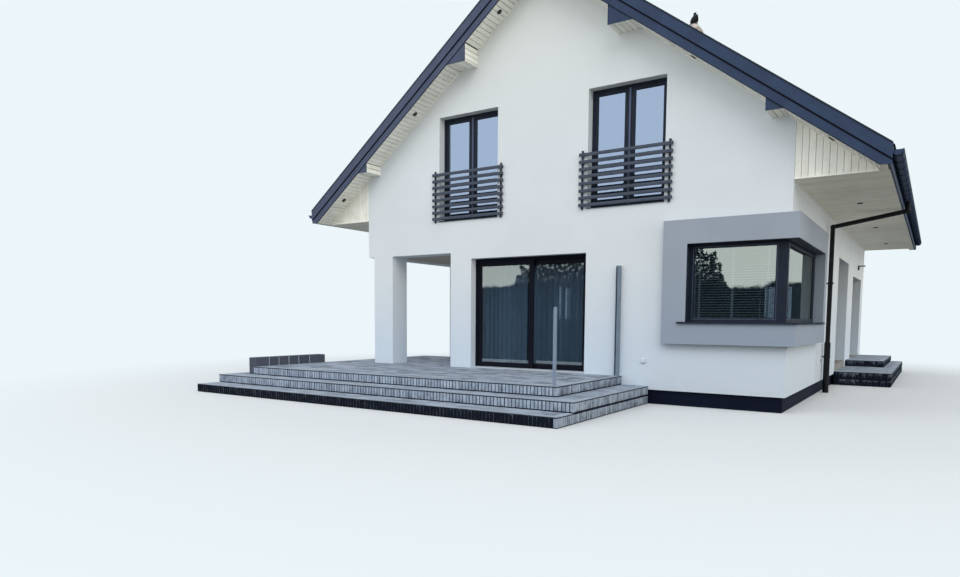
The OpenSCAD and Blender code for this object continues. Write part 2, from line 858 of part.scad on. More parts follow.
// The terrace's top level, which runs on into the covered corner.
module terrace_top() {
    low_z = 2 * riser;
    color(block_grey) {
        block([terrace_x[0], -terrace_l, low_z], [terrace_x[1], 0, floor_z]);
        block([terrace_x[0], 0, low_z], [pier_x, loggia_l, floor_z]);
    }
}

// The second level and the bottom step, as one flight.
module terrace_steps() {
    left_x = terrace_x[0] - tread[1];
    right_x = terrace_x[1] + tread[2];
    front = -terrace_l - tread[0];
    color(block_grey) {
        block([left_x, front, 0], [right_x, 0, 2 * riser]);
        block([left_x, 0, 0], [pier_x, loggia_l, 2 * riser]);
        block([left_x, front - bottom_tread, 0], [right_x, front, riser]);
    }
}

module planter_wall() {
    color("lightgrey") block([terrace_x[0] - planter_size[0], -terrace_l, 2 * riser],
        [terrace_x[0], -terrace_l + planter_size[1], floor_z + planter_size[2]]);
}

// The long step and the landing before the side doors.
module entrance_steps() {
    landing_tread = 300;
    step_y = side_open_a[0] - 90;
    landing_y = side_open_a[1] + 230;
    end_y = side_open_b[1] + 220;
    color(block_grey) {
        block([half_w, step_y, 0], [half_w + entrance_w, end_y, 2 * riser]);
        block([half_w, landing_y, 0], [half_w + entrance_w - landing_tread, end_y, floor_z]);
    }
}

// Stands a frame or pane, drawn with its outer face at Y = 0, in one of the side openings.
module at_side_door(gap) {
    translate([half_w - side_reveal, gap[0], floor_z]) rotate([0, 0, 90]) children();
}

// The entrance's side lights, as boxes of a given thickness.
module side_lights(y, t) {
    w = side_open_b[1] - side_open_b[0];
    h = side_head_b - floor_z;
    light_w = (w - leaf_w) / 2 - 2 * entrance_border;
    for (x = [entrance_border, w - entrance_border - light_w])
        translate([x, y, entrance_border]) cube([light_w, t, h - 2 * entrance_border]);
}

// The entrance: a frame with two side lights, the leaf set back in it and its pull bar.
module entrance_door() {
    sill_h = 20;
    bar_d = 30;
    bar_l = 1200;
    bar_out = 45;
    bar_in = 110;
    w = side_open_b[1] - side_open_b[0];
    h = side_head_b - floor_z;
    difference() {
        cube([w, frame_t, h]);
        side_lights(-1, frame_t + 2);
        translate([(w - leaf_w) / 2, -1, sill_h])
            cube([leaf_w, leaf_back + 1, h - sill_h - entrance_border]);
    }
    translate([(w - leaf_w) / 2 + bar_in, -bar_out, (h - bar_l) / 2]) {
        cylinder(d = bar_d, h = bar_l, $fn = 24);
        for (z = [bar_l / 8, bar_l * 7 / 8]) translate([0, 0, z]) rotate([-90, 0, 0])
            cylinder(d = bar_d * 2 / 3, h = bar_out + leaf_back + 1, $fn = 24);
    }
}

// The doors set back in the side wall: a glazed pair and the entrance.
module side_doors() {
    color(anthracite) {
        at_side_door(side_open_a) sash_frame(side_open_a[1] - side_open_a[0], side_head_a - floor_z);
        at_side_door(side_open_b) entrance_door();
    }
}

// The spot lights in the soffits and the lamp beside the entrance.
module outdoor_lights() {
    spot_x = [850, 2970, 5100];
    spot_y = [3000, 7000, 11000];
    spot_d = 90;
    spot_t = 12;
    lamp_at = [half_w, side_open_b[0] + 1200, 3030];
    back_plate = [40, 110, 130];
    arm = [150, 110, 30];
    color("dimgray") {
        for (side = [-1, 1], x = spot_x)
            translate([side * x, -verge_overhang / 2, roof_z(x) - cladding_t - seam])
                rotate([0, side * roof_pitch, 0]) translate([0, 0, -spot_t])
                    cylinder(d = spot_d, h = spot_t, $fn = 32);
        for (side = [-1, 1], y = spot_y)
            translate([side * (half_w + eave_overhang / 2), y, soffit_z - spot_t])
                cylinder(d = spot_d, h = spot_t, $fn = 32);
        translate(lamp_at) {
            cube(back_plate);
            translate([back_plate[0], 0, back_plate[2] - arm[2]]) cube(arm);
        }
    }
}

// The chimney's outline up to a height, for the stack and the hole in the roof.
module chimney_shaft(top) {
    block([chimney_at[0] - chimney_size[0] / 2, chimney_at[1] - chimney_size[1] / 2, upper_floor_z],
        [chimney_at[0] + chimney_size[0] / 2, chimney_at[1] + chimney_size[1] / 2, top]);
}

// The chimney: its shaft and cap slab, a flue pot, and a bent cowl that turns with the wind.
module chimney() {
    cap_t = 50;
    cap_out = 20;
    pot_d = 190;
    pot_h = 110;
    cap_size = [chimney_size[0] + 2 * cap_out, chimney_size[1] + 2 * cap_out, cap_t];
    color("gainsboro") {
        chimney_shaft(chimney_z - cap_t);
        translate([chimney_at[0], chimney_at[1], chimney_z - cap_t]) {
            translate([-cap_size[0] / 2, -cap_size[1] / 2, 0]) cube(cap_size);
            translate([0, 0, cap_t]) cylinder(d = pot_d, h = pot_h, $fn = 32);
        }
    }
    color(anthracite) translate([chimney_at[0], chimney_at[1], chimney_z + pot_h]) cowl();
}

// A round pipe that bends out of the upright, turned by an angle.
module hood_bend(bend_r, d, turn) {
    rotate([0, 0, 180]) mirror([0, 1, 0])
        rotate_extrude(angle = turn, $fn = 48) translate([bend_r, 0]) circle(d = d, $fn = 24);
}

// The cowl: a neck with a collar, a bent hood with an open mouth, and a vane.
module cowl() {
    neck_d = 150;
    neck_h = 70;
    collar_d = 210;
    collar_t = 14;
    facing = 25;
    hood_d = 180;
    hood_wall = 8;
    hood_turn = 80;
    lap = 6;
    bend_r = 105;
    vane_t = 8;
    cylinder(d = collar_d, h = collar_t, $fn = 32);
    cylinder(d = neck_d, h = neck_h, $fn = 32);
    rotate([0, 0, facing]) {
        translate([bend_r, 0, neck_h - lap]) rotate([90, 0, 0]) difference() {
            hood_bend(bend_r, hood_d, hood_turn);
            translate([0, lap, 0]) hood_bend(bend_r, hood_d - 2 * hood_wall, hood_turn + 10);
        }
        translate([-30, vane_t / 2, neck_h + 100]) rotate([90, 0, 0]) linear_extrude(vane_t)
            polygon([[0, 0], [60, 40], [90, 140], [20, 120]]);
    }
}

in_frame() plinth();
in_frame() ground_floor();
in_frame() upper_floor();
in_frame() front_wall_pier();
in_frame() front_wall_right();
in_frame() front_gable();
in_frame() right_wall();
in_frame() left_wall();
in_frame() rear_wall();
in_frame() loggia_back_wall();
in_frame() loggia_side_wall();
in_frame() loggia_column();
in_frame() loggia_ceiling();
in_frame() roof_left();
in_frame() roof_right();
in_frame() ridge_cap();
in_frame() front_barge_boards();
in_frame() rear_barge_boards();
in_frame() verge_soffits();
in_frame() purlin_boxes();
in_frame() eave_soffits();
in_frame() eave_end_panels();
in_frame() eave_fascias();
in_frame() gutters();
in_frame() downpipes();
in_frame() french_window_frames();
in_frame() rear_window_frames();
in_frame() balcony_railings();
in_frame() terrace_door_frame();
in_frame() sliding_sash();
in_frame() sliding_glass();
in_frame() fixed_glazing();
in_frame() terrace_curtain();
in_frame() window_surround();
in_frame() corner_window_frame();
in_frame() window_sill();
in_frame() window_blind();
in_frame() side_awning();
in_frame() terrace_top();
in_frame() terrace_steps();
in_frame() planter_wall();
in_frame() entrance_steps();
in_frame() side_doors();
in_frame() outdoor_lights();
in_frame() chimney();
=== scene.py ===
"""Looks of a detached house with a covered terrace corner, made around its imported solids.

Lengths are metres. Shapes are worked out in the house frame, where X = 0 is under the ridge
and Y = 0 is the front wall's face, and Shell.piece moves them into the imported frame.
"""

from __future__ import annotations

import itertools
import json
import logging
import math
from dataclasses import dataclass, field
from enum import Enum
from typing import Any, Callable, Sequence

import bpy
import numpy as np
from mathutils import Matrix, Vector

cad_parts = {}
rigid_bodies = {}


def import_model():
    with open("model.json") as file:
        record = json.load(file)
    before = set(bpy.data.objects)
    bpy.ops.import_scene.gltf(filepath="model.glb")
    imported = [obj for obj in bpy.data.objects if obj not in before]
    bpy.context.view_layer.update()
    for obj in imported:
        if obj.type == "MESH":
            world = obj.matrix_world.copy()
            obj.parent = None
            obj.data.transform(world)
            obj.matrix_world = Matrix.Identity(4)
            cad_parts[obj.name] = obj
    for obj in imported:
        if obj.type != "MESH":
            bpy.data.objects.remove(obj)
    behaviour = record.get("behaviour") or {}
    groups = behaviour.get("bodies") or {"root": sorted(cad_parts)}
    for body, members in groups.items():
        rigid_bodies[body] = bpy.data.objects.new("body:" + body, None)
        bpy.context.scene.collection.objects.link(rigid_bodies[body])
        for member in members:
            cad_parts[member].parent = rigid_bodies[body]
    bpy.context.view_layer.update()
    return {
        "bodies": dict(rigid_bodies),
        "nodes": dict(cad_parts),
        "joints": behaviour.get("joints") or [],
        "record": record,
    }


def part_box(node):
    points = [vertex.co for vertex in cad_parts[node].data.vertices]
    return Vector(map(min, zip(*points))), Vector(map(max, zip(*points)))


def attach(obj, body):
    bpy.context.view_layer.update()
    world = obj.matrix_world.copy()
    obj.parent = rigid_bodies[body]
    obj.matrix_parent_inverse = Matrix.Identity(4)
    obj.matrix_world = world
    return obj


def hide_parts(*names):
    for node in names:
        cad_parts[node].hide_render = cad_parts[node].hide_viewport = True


Array = np.ndarray
Shape = tuple[Array, list[Array]]
Numbers = Sequence[float]
Pair = tuple[float, float]
Triple = tuple[float, float, float]
Quad = tuple[float, float, float, float]
Socket = bpy.types.NodeSocket
Material = bpy.types.Material
log = logging.getLogger("house")

HOUSE = "house"
LEAF = "terrace_door_leaf"
SEED = 20

# The house's half width over its walls, its length, its ground floor's height and its French windows' middles
HALF_W = 4.556
LENGTH = 12.95
FLOOR_Z = 0.486
FRENCH_X = (-1.762, 1.71)

# Which way a panel runs to the right and looks, in the front, right, left and rear walls
FRONT = ((1, 0, 0), (0, -1, 0))
RIGHT = ((0, 1, 0), (1, 0, 0))
LEFT = ((0, -1, 0), (-1, 0, 0))
REAR = ((-1, 0, 0), (0, 1, 0))

# Painted light on the outer render: its tone is multiplied by these low down, as painted shade, and at the
# top of the gables, as painted light
PAINTED_SHADE_TONE = (0.935, 0.963, 1.0)
PAINTED_LIGHT_TONE = (0.995, 0.985, 0.95)


class Slot(Enum):
    """The record's material slots, which Shell.piece takes as an argument but does not use."""

    ROOF_TILE = "roof_tile"
    DARK_METAL = "dark_metal"
    PROFILE = "window_profile"
    CLADDING = "white_cladding"
    SHEER = "sheer"
    BLIND = "blind"
    AWNING = "awning_metal"
    PAVING = "block_paving"
    LAMP = "lamp"


class Side(Enum):
    """The two sides of the ridge line."""

    LEFT = -1
    RIGHT = 1


# Shapes


def signed_volume(points: Array, faces: Sequence[Array]) -> Array:
    """Six times the volume that each item of a batch encloses.

    Each face is cut into a fan of triangles, and the triple products of their corners are added.

    Args:
        points: (items, points, 3) corners.
        faces: Index arrays, each (faces, corners), shared by all items.

    Returns:
        One number per item, negative where the faces point inwards.
    """
    total = np.zeros(len(points))
    middle = points.mean(1, keepdims=True)
    local = points - middle
    for face in faces:
        first = local[:, face[:, 0]]
        for k in range(1, face.shape[1] - 1):
            cross = np.cross(local[:, face[:, k]], local[:, face[:, k + 1]])
            total += np.einsum("ifc,ifc->i", first, cross)
    return total


def turned_out(points: Array, faces: Sequence[Array]) -> Shape:
    """Repeats a face template over a batch of items and turns each item's faces outwards.

    Args:
        points: (items, points, 3) corners.
        faces: Index arrays, each (faces, corners), shared by all items.

    Returns:
        All points as (n, 3), and the index arrays of all items.
    """
    inward = signed_volume(points, faces) < 0
    start = (np.arange(len(points)) * points.shape[1])[:, None, None]
    made = []
    for face in faces:
        every = face[None] + start
        every = np.where(inward[:, None, None], every[:, :, ::-1], every)
        made.append(every.reshape(-1, face.shape[1]))
    return points.reshape(-1, 3), made


def skins(rings: Array, looped: bool = False) -> Shape:
    """Skins a batch of ring stacks: ring j and ring j + 1 are joined by a band of quads.

    Args:
        rings: (items, rings, points, 3) closed rings.
        looped: True joins the last ring to the first one, and False closes both ends.

    Returns:
        Points and faces, as turned_out gives them.
    """
    items, stack, around, _ = rings.shape
    index = np.arange(stack * around).reshape(stack, around)
    low = index if looped else index[:-1]
    high = np.roll(index, -1, 0) if looped else index[1:]
    band = np.stack([low, np.roll(low, -1, 1), np.roll(high, -1, 1), high], -1)
    faces = [band.reshape(-1, 4)]
    if not looped:
        faces.append(np.stack([index[0, ::-1], index[-1]]))
    return turned_out(rings.reshape(items, -1, 3), faces)


def prisms(near: Array, far: Array) -> Shape:
    """Carries outlines in a straight line from near to far, both (items, points, 3)."""
    return skins(np.stack([near, far], 1))


def cube_template() -> list[Array]:
    """The faces of a box whose corners are each cut into three points.

    Point 3 * corner + axis is the one that lies on the box's face across that axis.

    Returns:
        Index arrays of the six faces, twelve cut edges and eight cut corners.
    """
    corners = np.array(list(itertools.product((0, 1), repeat=3)))
    place = {tuple(c): i for i, c in enumerate(corners.tolist())}
    quads = []
    for a in range(3):
        b, c = (a + 1) % 3, (a + 2) % 3
        for s in (0, 1):
            loop = []
            for u, v in ((0, 0), (1, 0), (1, 1), (0, 1)):
                corner = [0, 0, 0]
                corner[a], corner[b], corner[c] = s, u, v
                loop.append(3 * place[tuple(corner)] + a)
            quads.append(loop)
        for u, v in itertools.product((0, 1), repeat=2):
            ends = []
            for s in (0, 1):
                corner = [0, 0, 0]
                corner[a], corner[b], corner[c] = s, u, v
                ends.append(3 * place[tuple(corner)])
            quads.append([ends[0] + b, ends[1] + b, ends[1] + c, ends[0] + c])
    tris = [[3 * i, 3 * i + 1, 3 * i + 2] for i in range(8)]
    faces = []
    inset = np.where(np.eye(3, dtype=bool), 0, 1 - 2 * corners[:, None])
    points = (corners[:, None] + 0.1 * inset).reshape(-1, 3)
    for group in (np.array(quads), np.array(tris)):
        p = points[group]
        normal = np.cross(p[:, 1] - p[:, 0], p[:, 2] - p[:, 0])
        wrong = np.einsum("ij,ij->i", normal, p.mean(1) - 0.5) < 0
        faces.append(np.where(wrong[:, None], group[:, ::-1], group))
    return faces


CUBE_FACES = cube_template()


def cut_boxes(low: Array, high: Array, cut: float) -> Shape:
    """Boxes whose edges are cut off at 45 degrees.

    Corner c of a box becomes three points, each moved in by cut along the two axes of its face.

    Args:
        low: (boxes, 3) lowest corners.
        high: (boxes, 3) highest corners.
        cut: How far the cut reaches from each edge.

    Returns:
        Points and faces, 24 and 26 a box.
    """
    low = np.atleast_2d(np.asarray(low, float))
    high = np.atleast_2d(np.asarray(high, float))
    corner = np.array(list(itertools.product((0, 1), repeat=3)))[:, None]
    inset = np.where(np.eye(3, dtype=bool), 0, 1 - 2 * corner)
    spread = low[:, None, None] + (high - low)[:, None, None] * corner + cut * inset
    return turned_out(spread.reshape(len(low), -1, 3), CUBE_FACES)


def circle(sides: int) -> Array:
    """A unit circle as (sides, 2): point i is (cos, sin) of i shares of a turn."""
    turn = np.linspace(0, 2 * math.pi, sides, endpoint=False)
    return np.stack([np.cos(turn), np.sin(turn)], 1)


def turning(profile: Array, foot: Numbers, axis: Numbers, sides: int, looped: bool = False) -> Shape:
    """A turned shape: the profile's (radius, height) points go round an axis.

    Args:
        profile: (points, 2) radius and height.
        foot: The point where height is 0.
        axis: The unit vector along which height grows.
        sides: Points round the shape.
        looped: True where the profile is closed, so that the shape is a ring.

    Returns:
        Points and faces.
    """
    along = np.asarray(axis, float)
    across = np.cross(along, (0.0, 0.0, 1.0) if abs(along[2]) < 0.9 else (1.0, 0.0, 0.0))
    across /= np.linalg.norm(across)
    ring = circle(sides)
    flat = ring[:, :1] * across + ring[:, 1:] * np.cross(along, across)
    profile = np.asarray(profile, float)
    rings = np.asarray(foot, float) + profile[:, :1, None] * flat + profile[:, 1:, None] * along
    return skins(rings[None], looped)


@dataclass(frozen=True)
class Panel:
    """An upright rectangle in the house, seen from outside.

    Fields:
        corner: Its lower left corner as seen from outside.
        right: Unit vector to its right.
        outward: Unit vector towards the viewer.
        width: Its width.
        height: Its height.
    """

    corner: Triple
    right: Triple
    outward: Triple
    width: float
    height: float

    def at(self, u: Array | float, v: Array | float, out: Array | float = 0.0) -> Array:
        """The point u to the right, v up and out towards the viewer."""
        steps = np.stack(np.broadcast_arrays(u, v, out), -1)
        return np.asarray(self.corner) + steps @ np.array([self.right, (0.0, 0.0, 1.0), self.outward])

    def inner(self, left: float, low: float, width: float, height: float) -> Panel:
        """A smaller rectangle in the same plane."""
        return Panel(tuple(self.at(left, low)), self.right, self.outward, width, height)

    def ring(self, profile: Array) -> Shape:
        """A mitred moulding round the rectangle.

        Args:
            profile: (points, 2) of how far in from the edge and how far out of the plane.

        Returns:
            Points and faces.
        """
        profile = np.asarray(profile, float)
        inset, out = profile[:, 0], profile[:, 1]
        rings = [
            self.at(inset, inset, out),
            self.at(self.width - inset, inset, out),
            self.at(self.width - inset, self.height - inset, out),
            self.at(inset, self.height - inset, out),
        ]
        return skins(np.stack(rings)[None], looped=True)

    def box(self, u: Numbers, v: Numbers, out: Numbers, cut: float) -> Shape:
        """A box with cut edges on the rectangle, from the low to the high value of each axis."""
        ends = [self.at(*corner) for corner in zip(u, v, out)]
        return cut_boxes(np.minimum(*ends), np.maximum(*ends), cut)


def in_scene(name: str, data: bpy.types.ID) -> bpy.types.Object:
    """Makes an object at the scene's origin.

    Args:
        name: Its name.
        data: Its mesh, camera or lamp.

    Returns:
        The object, linked to the scene.
    """
    made = bpy.data.objects.new(name, data)
    bpy.context.scene.collection.objects.link(made)
    return made


@dataclass
class Shell:
    """Gathers parts of one piece, then makes its object.

    Fields:
        palette: The finishes.
        front_y: Where the front wall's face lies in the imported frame.
        points, faces, tints, damps: What was gathered, part by part.
        count: How many points that is.
    """

    palette: Palette
    front_y: float
    points: list[Array] = field(default_factory=list)
    faces: list[tuple[Array, int]] = field(default_factory=list)
    tints: list[Array] = field(default_factory=list)
    damps: list[Array] = field(default_factory=list)
    count: int = 0

    def add(
        self, shape: Shape, finish: int = 0, tint: Array | float = 0.5, damp: Array | float = 0.0
    ) -> None:
        """Adds a shape.

        Args:
            shape: Points and faces.
            finish: Which of the piece's materials the faces take.
            tint: How pale, from 0 to 1: one number, one per item or one per point.
            damp: How stained, from 0 to 1, in the same way; on stone it also carries painted shade.
        """
        points, faces = shape
        for face in faces:
            self.faces.append((face + self.count, finish))
        for values, kept in ((tint, self.tints), (damp, self.damps)):
            values = np.atleast_1d(np.asarray(values, float))
            kept.append(np.repeat(values, len(points) // len(values)))
        self.points.append(points)
        self.count += len(points)

    def piece(
        self, name: str, slot: Slot, *finishes: str, smooth: float = 0.0, body: str = HOUSE, node: str = ""
    ) -> bpy.types.Object:
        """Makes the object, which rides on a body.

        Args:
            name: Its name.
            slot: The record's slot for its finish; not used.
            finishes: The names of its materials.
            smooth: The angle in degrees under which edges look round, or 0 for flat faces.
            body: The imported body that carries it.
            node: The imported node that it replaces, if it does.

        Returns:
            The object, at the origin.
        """
        points = np.concatenate(self.points) + (0.0, self.front_y, 0.0)
        rows: list[list[int]] = []
        wears: list[Array] = []
        for face, worn in self.faces:
            rows += face.tolist()
            wears.append(np.full(len(face), worn))
        mesh = bpy.data.meshes.new(name)
        mesh.from_pydata(points.tolist(), [], rows)
        for finish in finishes:
            mesh.materials.append(self.palette[finish])
        mesh.polygons.foreach_set("material_index", np.concatenate(wears))
        for key, parts in (("tint", self.tints), ("damp", self.damps)):
            layer = mesh.attributes.new(key, "FLOAT", "POINT")
            layer.data.foreach_set("value", np.concatenate(parts))
        if smooth:
            mesh.polygons.foreach_set("use_smooth", np.ones(len(rows), bool))
            mesh.set_sharp_from_angle(angle=math.radians(smooth))
        mesh.update()
        piece = in_scene(name, mesh)
        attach(piece, body)
        if node:
            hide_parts(node)
        log.info("%s: %d faces on %s", name, len(rows), body)
        return piece


# Finishes


def paint(red: float, green: float, blue: float) -> Quad:
    """A screen colour, 0 to 255 a channel, as the linear colour that sockets take."""
    screen = np.array([red, green, blue]) / 255
    return (*np.where(screen <= 0.04045, screen / 12.92, ((screen + 0.055) / 1.055) ** 2.4).tolist(), 1.0)


def tinted(tone: Triple, factors: Triple) -> Quad:
    """A screen colour whose channels are first multiplied by a factor each."""
    return paint(*(channel * factor for channel, factor in zip(tone, factors)))


class Graph:
    """A material's node tree, with short calls for what the finishes need."""

    def __init__(self, name: str) -> None:
        """Starts a material with an output node alone.

        Args:
            name: Its name.
        """
        self.material = bpy.data.materials.new(name)
        self.material.use_nodes = True
        self.tree = self.material.node_tree
        self.tree.nodes.clear()
        self.output = self.tree.nodes.new("ShaderNodeOutputMaterial")
        self.place = self.node("ShaderNodeTexCoord").outputs["Object"]

    def node(self, kind: str, inputs: dict[str | int, Any] | None = None, **settings: Any) -> bpy.types.Node:
        """Adds a node. An input that is a socket is linked, and any other is set.

        Args:
            kind: Blender's name for its type.
            inputs: What its inputs take, by name or number.
            settings: Its other settings.

        Returns:
            The node.
        """
        node = self.tree.nodes.new(kind)
        for key, value in settings.items():
            setattr(node, key, value)
        for key, value in (inputs or {}).items():
            if isinstance(value, Socket):
                self.tree.links.new(value, node.inputs[key])
            else:
                node.inputs[key].default_value = value
        return node

    def stretched(self, scale: Triple, place: Socket | None = None) -> Socket:
        """A place, or else the object coordinates, scaled along each axis."""
        return self.node("ShaderNodeMapping", {"Vector": place or self.place, "Scale": scale}).outputs[0]

    def noise(self, scale: float, detail: float = 2.0, place: Socket | None = None) -> Socket:
        """Noise of about scale bumps a metre."""
        inputs = {"Vector": place or self.place, "Scale": scale, "Detail": detail}
        return self.node("ShaderNodeTexNoise", inputs).outputs[0]

    def attribute(self, name: str) -> Socket:
        """A number that the mesh carries."""
        return self.node("ShaderNodeAttribute", attribute_name=name).outputs["Fac"]

    def span(
        self, value: Socket, low: float, high: float, to_low: float = 0.0, to_high: float = 1.0
    ) -> Socket:
        """Maps low..high to to_low..to_high, and holds it there outside."""
        inputs = {"Value": value, "From Min": low, "From Max": high, "To Min": to_low, "To Max": to_high}
        return self.node("ShaderNodeMapRange", inputs).outputs[0]

    def maths(self, operation: str, a: Any, b: Any) -> Socket:
        """One sum of two values."""
        return self.node("ShaderNodeMath", {0: a, 1: b}, operation=operation).outputs[0]

    def blend(self, share: Any, a: Any, b: Any) -> Socket:
        """Colour a where share is 0, and colour b where it is 1."""
        return self.node("ShaderNodeMix", {0: share, 6: a, 7: b}, data_type="RGBA").outputs[2]

    def height(self) -> Socket:
        """The height above the ground."""
        return self.node("ShaderNodeSeparateXYZ", {0: self.place}).outputs["Z"]

    def bump(self, height: Socket, depth: float) -> Socket:
        """A relief of that depth."""
        inputs = {"Height": height, "Distance": depth, "Strength": 1.0}
        return self.node("ShaderNodeBump", inputs).outputs[0]

    def upward(self) -> Socket:
        """How far the surface faces up, 1 where it is level."""
        normal = self.node("ShaderNodeNewGeometry").outputs["Normal"]
        return self.node("ShaderNodeSeparateXYZ", {0: normal}).outputs["Z"]

    def mixed(self, share: Any, a: Socket, b: Socket) -> Socket:
        """Shader a where share is 0, and shader b where it is 1."""
        return self.node("ShaderNodeMixShader", {0: share, 1: a, 2: b}).outputs[0]

    def surface(self, **inputs: Any) -> Material:
        """Ends with a plain surface shader. Underscores in input names stand for spaces."""
        named = {key.replace("_", " "): value for key, value in inputs.items()}
        return self.shown(self.node("ShaderNodeBsdfPrincipled", named).outputs[0])

    def shown(self, shader: Socket) -> Material | None:
        """Ends with a shader of its own."""
        self.tree.links.new(shader, self.output.inputs[0])
        return self.material


class SkyGraph(Graph):
    """The world's node tree, whose place is the direction that is looked along."""

    def __init__(self, name: str) -> None:
        """Starts a world with an output node alone.

        Args:
            name: Its name.
        """
        world = bpy.data.worlds.new(name)
        world.use_nodes = True
        bpy.context.scene.world = world
        self.material = None
        self.tree = world.node_tree
        self.tree.nodes.clear()
        self.output = self.node("ShaderNodeOutputWorld")
        self.place = self.node("ShaderNodeTexCoord").outputs["Generated"]

    def glow(self, colour: Any, strength: float = 1.0) -> Socket:
        """Light of one colour."""
        return self.node("ShaderNodeBackground", {0: colour, 1: strength}).outputs[0]


@dataclass(frozen=True)
class Finish:
    """A finish of one colour family, with a lighter and a darker tone.

    Fields:
        name: The material's name.
        light: Its lighter tone, as a screen colour.
        dark: Its darker tone.
        roughness: How matt it is.
        shine: How much it mirrors straight on, where 0.5 is what bare plastic does.
    """

    name: str
    light: Triple
    dark: Triple
    roughness: float = 0.6
    shine: float = 0.5


@dataclass(frozen=True)
class Plaster(Finish):
    """Fine mineral render with faint trowel patches, rain streaks and splashed dirt low down.

    Fields:
        splash: How much dirt the rain throws onto the foot of the wall.
        cool: How far the lowest two metres turn to a cooler tone as painted shade, and the gable's top to a
            warmer one as painted light.
    """

    splash: float = 0.0
    cool: float = 0.0

    def make(self) -> Material:
        """Patches a metre wide, streaks that run down, and a grain of about 3 mm.

        Returns:
            The material.
        """
        g = Graph(self.name)
        patches = g.span(g.noise(0.9, 4.0), 0.3, 0.7)
        colour = g.blend(patches, paint(*self.dark), paint(*self.light))
        streaks = g.span(g.noise(1.0, 3.0, g.stretched((5.0, 5.0, 0.35))), 0.56, 0.8, 0.0, 0.02)
        stain = tinted(self.dark, (0.72, 0.72, 0.72))
        colour = g.blend(streaks, colour, stain)
        # Painted shade: the lowest two metres turn cooler; painted light: the gable's top turns warmer
        foot = g.maths("MULTIPLY", g.span(g.height(), 0.9, 2.6, 1.0, 0.0), self.cool)
        colour = g.blend(foot, colour, tinted(self.light, PAINTED_SHADE_TONE))
        head = g.maths("MULTIPLY", g.span(g.height(), 4.8, 7.4), self.cool)
        colour = g.blend(head, colour, tinted(self.light, PAINTED_LIGHT_TONE))
        low = g.span(g.height(), 0.3, 0.8, 1.0, 0.0)
        spots = g.span(g.noise(7.0, 4.0), 0.45, 0.75)
        dirt = g.maths("MULTIPLY", g.maths("MULTIPLY", low, spots), self.splash)
        colour = g.blend(dirt, colour, stain)
        grain = g.noise(330.0, 2.0)
        wave = g.noise(2.2, 1.0)
        relief = g.maths("ADD", g.maths("MULTIPLY", grain, 0.0012), g.maths("MULTIPLY", wave, 0.004))
        rough = g.span(grain, 0.3, 0.7, self.roughness, min(1.0, self.roughness + 0.12))
        gloss = {"Roughness": rough, "Specular_IOR_Level": self.shine}
        return g.surface(Base_Color=colour, Normal=g.bump(relief, 1.0), **gloss)


@dataclass(frozen=True)
class Coated(Finish):
    """Coated metal or plastic: an even tone with faint clouding, fine orange peel and dust.

    Fields:
        clouds: How many clouds a metre has.
        peel: How many bumps of the peel a metre has.
        metal: How metallic it is.
    """

    clouds: float = 3.0
    peel: float = 240.0
    metal: float = 0.0

    def make(self) -> Material:
        """Clouds of a third of a metre, a fine peel, and a little dust on what faces up.

        Returns:
            The material.
        """
        g = Graph(self.name)
        colour = g.blend(g.span(g.noise(self.clouds, 4.0), 0.3, 0.7), paint(*self.dark), paint(*self.light))
        level = g.span(g.upward(), 0.5, 1.0, 0.0, 0.3)
        dust = g.maths("MULTIPLY", level, g.span(g.noise(9.0, 4.0), 0.4, 0.7))
        colour = g.blend(dust, colour, paint(150, 150, 146))
        peel = g.noise(self.peel, 1.0)
        rough = g.span(g.noise(14.0, 3.0), 0.3, 0.7, self.roughness - 0.05, self.roughness + 0.08)
        gloss = {"Roughness": rough, "Metallic": self.metal, "Specular_IOR_Level": self.shine}
        return g.surface(Base_Color=colour, Normal=g.bump(peel, 0.00025), **gloss)


@dataclass(frozen=True)
class Boards(Finish):
    """White soffit boards, each a little different, with a faint moulded grain."""

    def make(self) -> Material:
        """The tone of each board comes from its own number, and soft dirt from noise.

        Returns:
            The material.
        """
        g = Graph(self.name)
        colour = g.blend(g.attribute("tint"), paint(*self.dark), paint(*self.light))
        dirt = g.span(g.noise(5.0, 5.0), 0.5, 0.8, 0.0, 0.22)
        colour = g.blend(dirt, colour, paint(150, 148, 132))
        grain = g.noise(120.0, 2.0)
        return g.surface(Base_Color=colour, Roughness=self.roughness, Normal=g.bump(grain, 0.0002))


@dataclass(frozen=True)
class Stone(Finish):
    """Pressed concrete blocks: mottled, pitted, each a little different, and darkened where the mesh's damp
    is high, which is real stain in places and painted shade in others.

    Fields:
        stain: The tone of a damp place, and of painted shade.
    """

    stain: Triple = (36, 40, 48)

    def make(self) -> Material:
        """Block tone from its number, mottling from noise, and the stain tone from the mesh's damp, which
        also carries painted shade.

        Returns:
            The material.
        """
        g = Graph(self.name)
        mottle = g.span(g.noise(16.0, 6.0), 0.25, 0.75)
        tone = g.maths("ADD", g.maths("MULTIPLY", g.attribute("tint"), 0.6), g.maths("MULTIPLY", mottle, 0.4))
        colour = g.blend(tone, paint(*self.dark), paint(*self.light))
        damp = g.maths("ADD", g.attribute("damp"), g.span(g.noise(9.0, 5.0), 0.3, 0.7, -0.18, 0.18))
        damp = g.maths("MULTIPLY", g.span(damp, 0.25, 0.95), g.span(g.attribute("damp"), 0.0, 0.1))
        colour = g.blend(damp, colour, paint(*self.stain))
        pits = g.node("ShaderNodeTexVoronoi", {"Vector": g.place, "Scale": 190.0}).outputs[0]
        rough = g.maths("MULTIPLY", g.noise(60.0, 4.0), 0.002)
        relief = g.maths("ADD", g.maths("MULTIPLY", pits, 0.0012), rough)
        gloss = {"Roughness": self.roughness, "Specular_IOR_Level": self.shine}
        return g.surface(Base_Color=colour, Normal=g.bump(relief, 1.0), **gloss)


